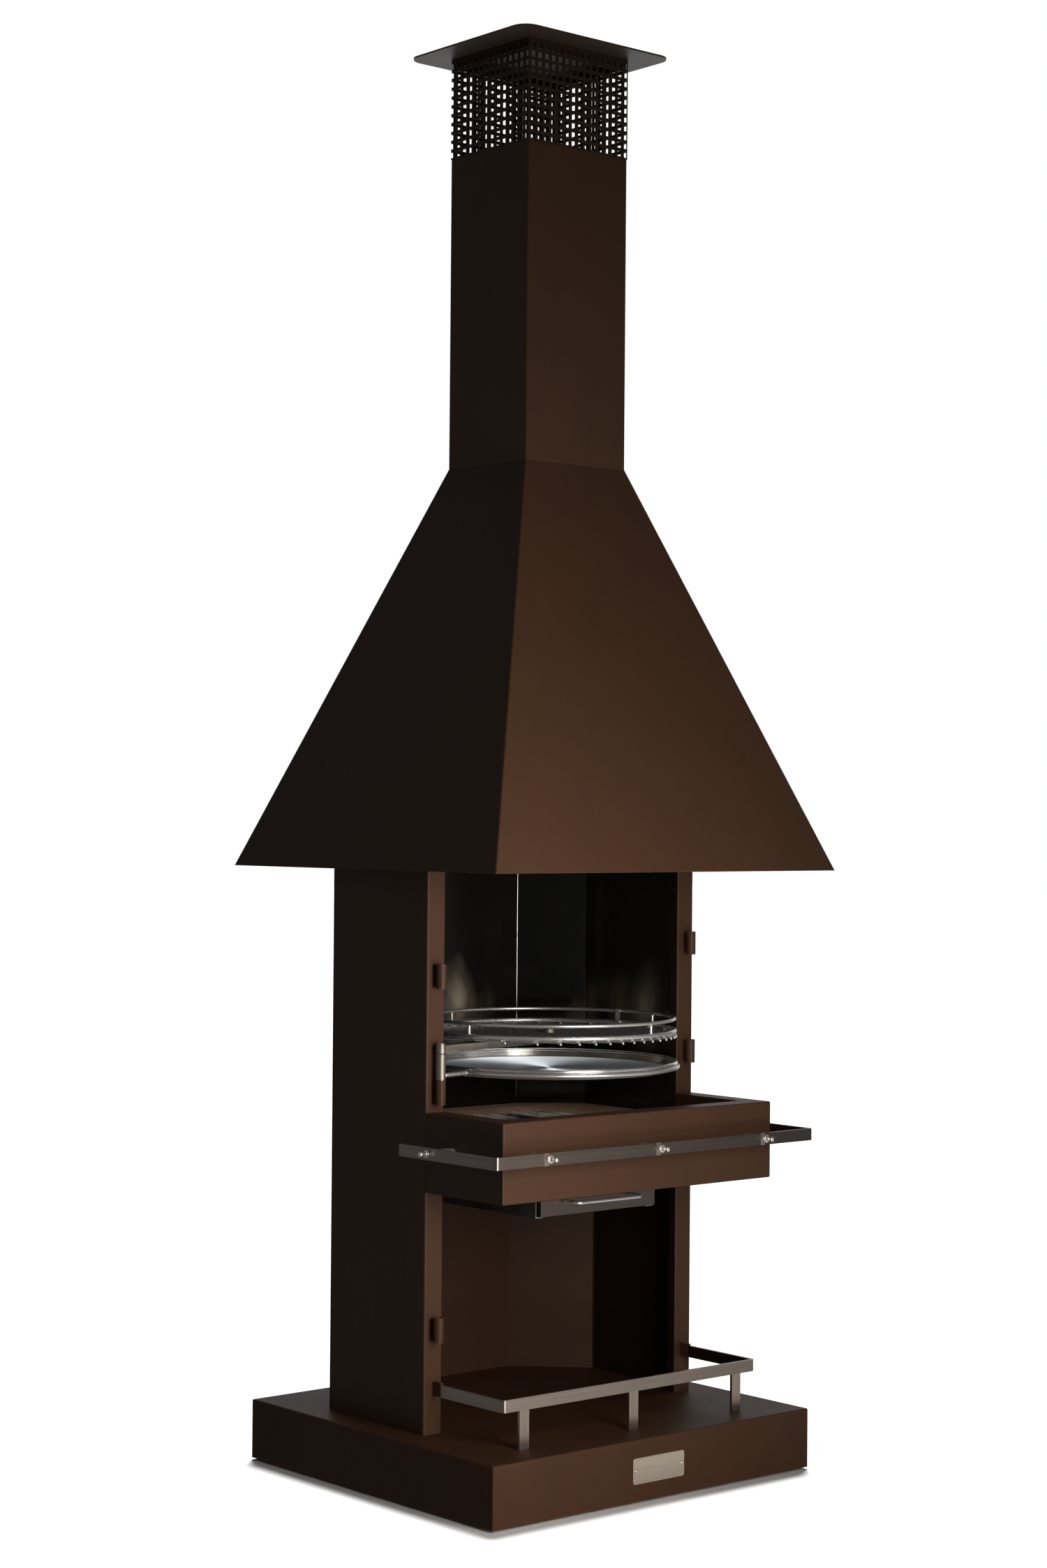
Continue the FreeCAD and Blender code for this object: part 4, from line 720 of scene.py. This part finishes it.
# round grill
bm = bmesh.new()
gr_z = grill_lo.z + (0.743 - 0.737 + 0.001 + 0.00115)
gr_z = ring_hi.z - 0.003 - (0.7635 - 0.743)
R = 0.214
add_ring(bm, C, gr_z, R, 0.004, 220, 20)
wz = gr_z - 0.0059
for k in range(-9, 10):
    off = k * 0.0227
    half = math.sqrt(R * R - off * off)
    mid = Vector((CX + ux * off, CY + uy * off, wz))
    d = Vector((-uy, ux, 0))
    e = half + 0.0012
    pts = [mid - d * (e + 0.0030) + Vector((0, 0, -0.0030)), mid - d * (e + 0.0022) + Vector((0, 0, -0.0015)),
           mid - d * (e + 0.0008) + Vector((0, 0, -0.0004)), mid - d * (e - 0.002)]
    for j in range(1, 12):
        pts.append(mid - d * (e - 0.002) * (1 - j / 6))
    pts += [mid + d * (e + 0.0008) + Vector((0, 0, -0.0004)), mid + d * (e + 0.0022) + Vector((0, 0, -0.0015)),
            mid + d * (e + 0.0030) + Vector((0, 0, -0.0030))]
    add_tube(bm, pts, 0.00225, 12)
    for s in (-1, 1):
        bead(bm, mid + d * s * (half - 0.0008) + Vector((0, 0, 0.0012)), d, 0.0018, 0.0010, 14, seed=k + 20 * s)
grill = obj_from(bm, "round_grill_wires", BRIGHT, 40)
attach(grill, "grill")
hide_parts("grill_grate")
bm = bmesh.new()
hub_lo = bar_top + 0.0005
add_lathe(bm, [(0.00515, hub_lo), (0.0100, hub_lo), (0.0110, hub_lo + 0.0010), (0.0110, gr_z + 0.0008), (0.0100, gr_z + 0.0018),
               (0.0075, gr_z + 0.0020), (0.00515, gr_z + 0.0020)], (CX, CY, 0), segs=48, closed=True)
hub = obj_from(bm, "grill_hub", S_TUBE)
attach(hub, "grill")

# guard rail
bm = bmesh.new()
gd_z = ring_hi.z - 0.003
add_ring(bm, C, gd_z, R, 0.003, 220, 16)
guard = obj_from(bm, "guard_rail_ring", BRIGHT)
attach(guard, "grill")
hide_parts("guard_ring")
bm = bmesh.new()
base_ang = math.atan2(uy, ux)
for a in (90, 180, 270, -20):
    t = base_ang + math.radians(a)
    x, y = CX + math.cos(t) * R, CY + math.sin(t) * R
    add_tube(bm, [(x, y, gr_z + 0.0030 + k * (gd_z - gr_z - 0.005) / 4) for k in range(5)], 0.0027, 16, dome=False)
    bead(bm, (x, y, gr_z + 0.0038), (0, 0, 1), 0.0030, 0.0010, 20, seed=a)
    bead(bm, (x, y, gd_z - 0.0028), (0, 0, 1), 0.0028, 0.0009, 20, seed=a + 3)
t = base_ang + math.radians(2)
turn2 = Matrix.Translation((CX, CY, 0)) @ Matrix.Rotation(t, 4, "Z")
add_block(bm, (R - 0.0061, -0.0045, gd_z + 0.003 - 0.025), (R - 0.0041, 0.0045, gd_z + 0.003), 0.0005, turn2)
gposts = obj_from(bm, "guard_rail_posts", BRIGHT)
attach(gposts, "grill")
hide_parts("guard_posts")

# ------------------------------------------------------------------ rail pegs

rail_lo, rail_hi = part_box("upper_rail")
rz = (rail_lo.z + rail_hi.z) / 2
peg = [(0.0, 0.0), (0.0064, 0.0), (0.0066, 0.0004), (0.0064, 0.0011), (0.0052, 0.0014), (0.0036, 0.0016), (0.0033, 0.0024),
       (0.0032, 0.0090), (0.0036, 0.0096), (0.0043, 0.0102), (0.0046, 0.0114), (0.0046, 0.0128), (0.0043, 0.0142),
       (0.0034, 0.0153), (0.0020, 0.0159), (0.0, 0.0160)]
bm = bmesh.new()
for x in (-0.24, 0.0, 0.24):
    add_lathe(bm, peg, (x, rail_lo.y, rz), (0, -1, 0), 32)
for s in (-1, 1):
    add_lathe(bm, peg, (s * rail_hi.x, -0.155, rz), (s, 0, 0), 32)
pegs = obj_from(bm, "utensil_pegs_turned", BRIGHT, 50)
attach(pegs, "root")
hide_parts("utensil_pegs")

# ------------------------------------------------------------------ name plate

np_lo, np_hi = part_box("name_plate")


def rounded_outline(x0, x1, z0_, z1_, r, n=6):
    out = []
    for cx, cz, a0 in ((x1 - r, z1_ - r, 0), (x0 + r, z1_ - r, 90), (x0 + r, z0_ + r, 180), (x1 - r, z0_ + r, 270)):
        for k in range(n + 1):
            a = math.radians(a0 + 90 * k / n)
            out.append((cx + r * math.cos(a), cz + r * math.sin(a)))
    return out


def add_plate(bm, x0, x1, z0_, z1_, y_back, y_front, r, ease, groove=None):
    """An upright plate with rounded corners and eased front edge; groove is (inset, width, depth)."""
    levels = [(0.0, y_back), (0.0, y_front + ease), (ease * 0.3, y_front + ease * 0.3), (ease, y_front)]
    if groove:
        g, w, d = groove
        levels += [(g, y_front), (g + w * 0.3, y_front + d), (g + w * 0.7, y_front + d), (g + w, y_front)]
    loops = []
    for inset, y in levels:
        loops.append([bm.verts.new((x, y, z)) for x, z in
                      rounded_outline(x0 + inset, x1 - inset, z0_ + inset, z1_ - inset, max(r - inset, 0.0006))])
    n = len(loops[0])
    for a, b in zip(loops, loops[1:]):
        for k in range(n):
            q = (k + 1) % n
            bm.faces.new((a[k], a[q], b[q], b[k]))
    bm.faces.new(loops[0][::-1])
    bm.faces.new(loops[-1])


bm = bmesh.new()
add_plate(bm, np_lo.x, np_hi.x, np_lo.z, np_hi.z, np_hi.y, np_lo.y, 0.004, 0.0003, (0.0022, 0.0007, 0.0002))
plate = obj_from(bm, "name_plate_blank", S_PLATE, 20)
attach(plate, "root")
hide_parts("name_plate")
bm = bmesh.new()
pz = (np_lo.z + np_hi.z) / 2
head = [(0.0, 0.0), (0.0026, 0.0), (0.0026, 0.0005), (0.0023, 0.0010), (0.0017, 0.0014), (0.0011, 0.0016), (0.0010, 0.0010),
        (0.0, 0.0010)]
for s in (-1, 1):
    add_lathe(bm, head, (s * (np_hi.x - 0.005), np_lo.y, pz), (0, -1, 0), 24)
screws = obj_from(bm, "plate_screw_heads", BRIGHT, 30)
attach(screws, "root")
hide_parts("plate_screws")

# ------------------------------------------------------------------ fire chamber seams

lb_lo, lb_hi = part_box("liner_back")
bm = bmesh.new()
for s in (-1, 1):
    x, y = s * (lb_hi.x + 0.0002), lb_lo.y - 0.0004
    w = 0.00045 if s < 0 else 0.00036
    add_tube(bm, [(x, y, lb_lo.z + 0.03 + k * (lb_hi.z - lb_lo.z - 0.032) / 8) for k in range(9)], w, 10)
seams = obj_from(bm, "liner_seam_edges", SEAM)
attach(seams, "root")

# ------------------------------------------------------------------ stage and light

bm = bmesh.new()
bmesh.ops.create_grid(bm, x_segments=8, y_segments=8, size=30.0)
floor = obj_from(bm, "studio_floor", bpy.data.materials.new("studio_floor"))
fm = floor.data.materials[0]
fm.use_nodes = True
fb = fm.node_tree.nodes["Principled BSDF"]
fb.inputs["Base Color"].default_value = (0.86, 0.86, 0.86, 1)
fb.inputs["Roughness"].default_value = 0.9
fb.inputs["Specular IOR Level"].default_value = 0.0
floor.visible_diffuse = False
floor.visible_glossy = False
floor.visible_shadow = False

world = bpy.data.worlds.new("studio")
scene.world = world
world.use_nodes = True
wn = world.node_tree
room = wn.nodes["Background"]
room.inputs[0].default_value = (1, 1, 1, 1)
path = wn.nodes.new("ShaderNodeLightPath")
level = wn.nodes.new("ShaderNodeMapRange")
level.inputs["To Min"].default_value = 0.10
level.inputs["To Max"].default_value = 1.0
wn.links.new(path.outputs["Is Camera Ray"], level.inputs["Value"])
wn.links.new(level.outputs[0], room.inputs[1])
world.cycles_visibility.diffuse = False
world.cycles_visibility.transmission = False
world.cycles_visibility.scatter = False


def area(name, loc, target, w, h, power, color=(1, 1, 1), spread=180):
    d = bpy.data.lights.new(name, "AREA")
    d.shape, d.size, d.size_y = "RECTANGLE", w, h
    d.energy, d.color = power, color
    d.spread = math.radians(spread)
    o = bpy.data.objects.new(name, d)
    scene.collection.objects.link(o)
    o.location = loc
    o.rotation_euler = (Vector(target) - Vector(loc)).to_track_quat("-Z", "Y").to_euler()
    o.visible_camera = False
    return o


def radiance(w, h, level):
    """Power of a w by h panel that is seen at this level."""
    return math.pi * w * h * level


key = area("key_softbox", (-0.36, -1.60, 0.88), (-0.80, 0, 0.86), 0.70, 0.84, 13.2, (1.0, 0.955, 0.905), 130)
low = area("low_strip", (-0.36, -1.60, 0.16), (-0.42, 0, 0.14), 0.90, 0.26, 5.6, (1.0, 0.955, 0.905))
strip = area("front_strip", (1.2, -2.9, 1.9), (0, 0, 0.75), 3.6, 0.8, radiance(3.6, 0.8, 0.40), (1.0, 0.98, 0.95))
strip.visible_diffuse = False
back = area("backdrop_glow", (2.6, 2.9, 1.25), (0, 0, 1.15), 4.6, 2.6, radiance(4.6, 2.6, 0.68), (0.97, 0.985, 1.0))
back_left = area("fill_back_left", (-2.6, 2.5, 1.9), (0, 0, 1.2), 2.6, 3.6, radiance(2.6, 3.6, 0.11), (0.92, 0.96, 1.0))
back_left.visible_diffuse = False
side_left = area("fill_left", (-3.3, -0.5, 1.3), (0, 0, 1.1), 2.2, 2.4, radiance(2.2, 2.4, 0.05), (0.94, 0.97, 1.0))
front_right = area("fill_front_right", (2.5, -2.9, 1.0), (0, 0, 1.0), 2.4, 2.2, radiance(2.4, 2.2, 0.07), (1.0, 0.91, 0.82))
bounce = area("floor_bounce", (0, 0, -0.02), (0, 0, 1.0), 7.0, 7.0, radiance(7.0, 7.0, 0.07), (1.0, 0.985, 0.97))
shine = area("floor_shine", (1.00, -1.70, -0.015), (1.00, -1.70, 1.0), 2.3, 2.3, radiance(2.3, 2.3, 0.50), (1.0, 0.95, 0.90))
shine.visible_diffuse = False
top = area("fill_top", (0.0, 0.0, 4.4), (0, 0, 0), 2.4, 2.4, 6, (1.0, 0.99, 0.97))
right = area("fill_right", (2.5, -0.2, 1.25), (0, 0, 0.95), 1.3, 1.8, 26, (1.0, 0.98, 0.95))
right.visible_glossy = False
behind = area("fill_behind", (0.45, 2.8, 1.3), (0, 0, 0.95), 1.5, 1.8, 30, (0.97, 0.985, 1.0))
behind.visible_glossy = False
ember = area("hearth_fill", (0.0, 0.0, 0.662), (0, 0.02, 0), 0.34, 0.34, 0.50, (1.0, 0.93, 0.86))
ember.visible_glossy = False
dish = area("pan_glow", (CX + 0.62, CY + 0.583, pan_lo.z + 0.845), (CX, CY, pan_lo.z), 0.16, 0.16, 1.7, (0.93, 0.97, 1.0))
sun = bpy.data.lights.new("floor_light", "SUN")
sun.energy, sun.angle = 5.2, math.radians(20)
floor_light = bpy.data.objects.new("floor_light", sun)
scene.collection.objects.link(floor_light)
floor_light.rotation_euler = Vector((-0.36, -0.36, -1.0)).to_track_quat("-Z", "Y").to_euler()
hearth_set = bpy.data.collections.new("hearth_receivers")
scene.collection.children.link(hearth_set)
hearth_set.objects.link(N["hearth_plate"])
hearth_set.objects.link(N["ash_grate"])
ember.light_linking.receiver_collection = hearth_set
floor_set = bpy.data.collections.new("floor_receivers")
scene.collection.children.link(floor_set)
floor_set.objects.link(floor)
floor_light.light_linking.receiver_collection = floor_set
pan_set = bpy.data.collections.new("pan_receivers")
scene.collection.children.link(pan_set)
pan_set.objects.link(pan)
dish.light_linking.receiver_collection = pan_set
open_air = bpy.data.collections.new("pan_casters")
scene.collection.children.link(open_air)
open_air.objects.link(N["rubber_pads"])
dish.light_linking.blocker_collection = open_air
off_floor = bpy.data.collections.new("off_floor_receivers")
scene.collection.children.link(off_floor)
off_floor.objects.link(floor)
for link in off_floor.collection_objects:
    link.light_linking.link_state = "EXCLUDE"
for lamp in (back, strip, top, behind, right):
    lamp.light_linking.receiver_collection = off_floor
casters = bpy.data.collections.new("floor_casters")
scene.collection.children.link(casters)
casters.objects.link(N["plinth"])
casters.objects.link(N["rubber_pads"])
floor_light.light_linking.blocker_collection = casters
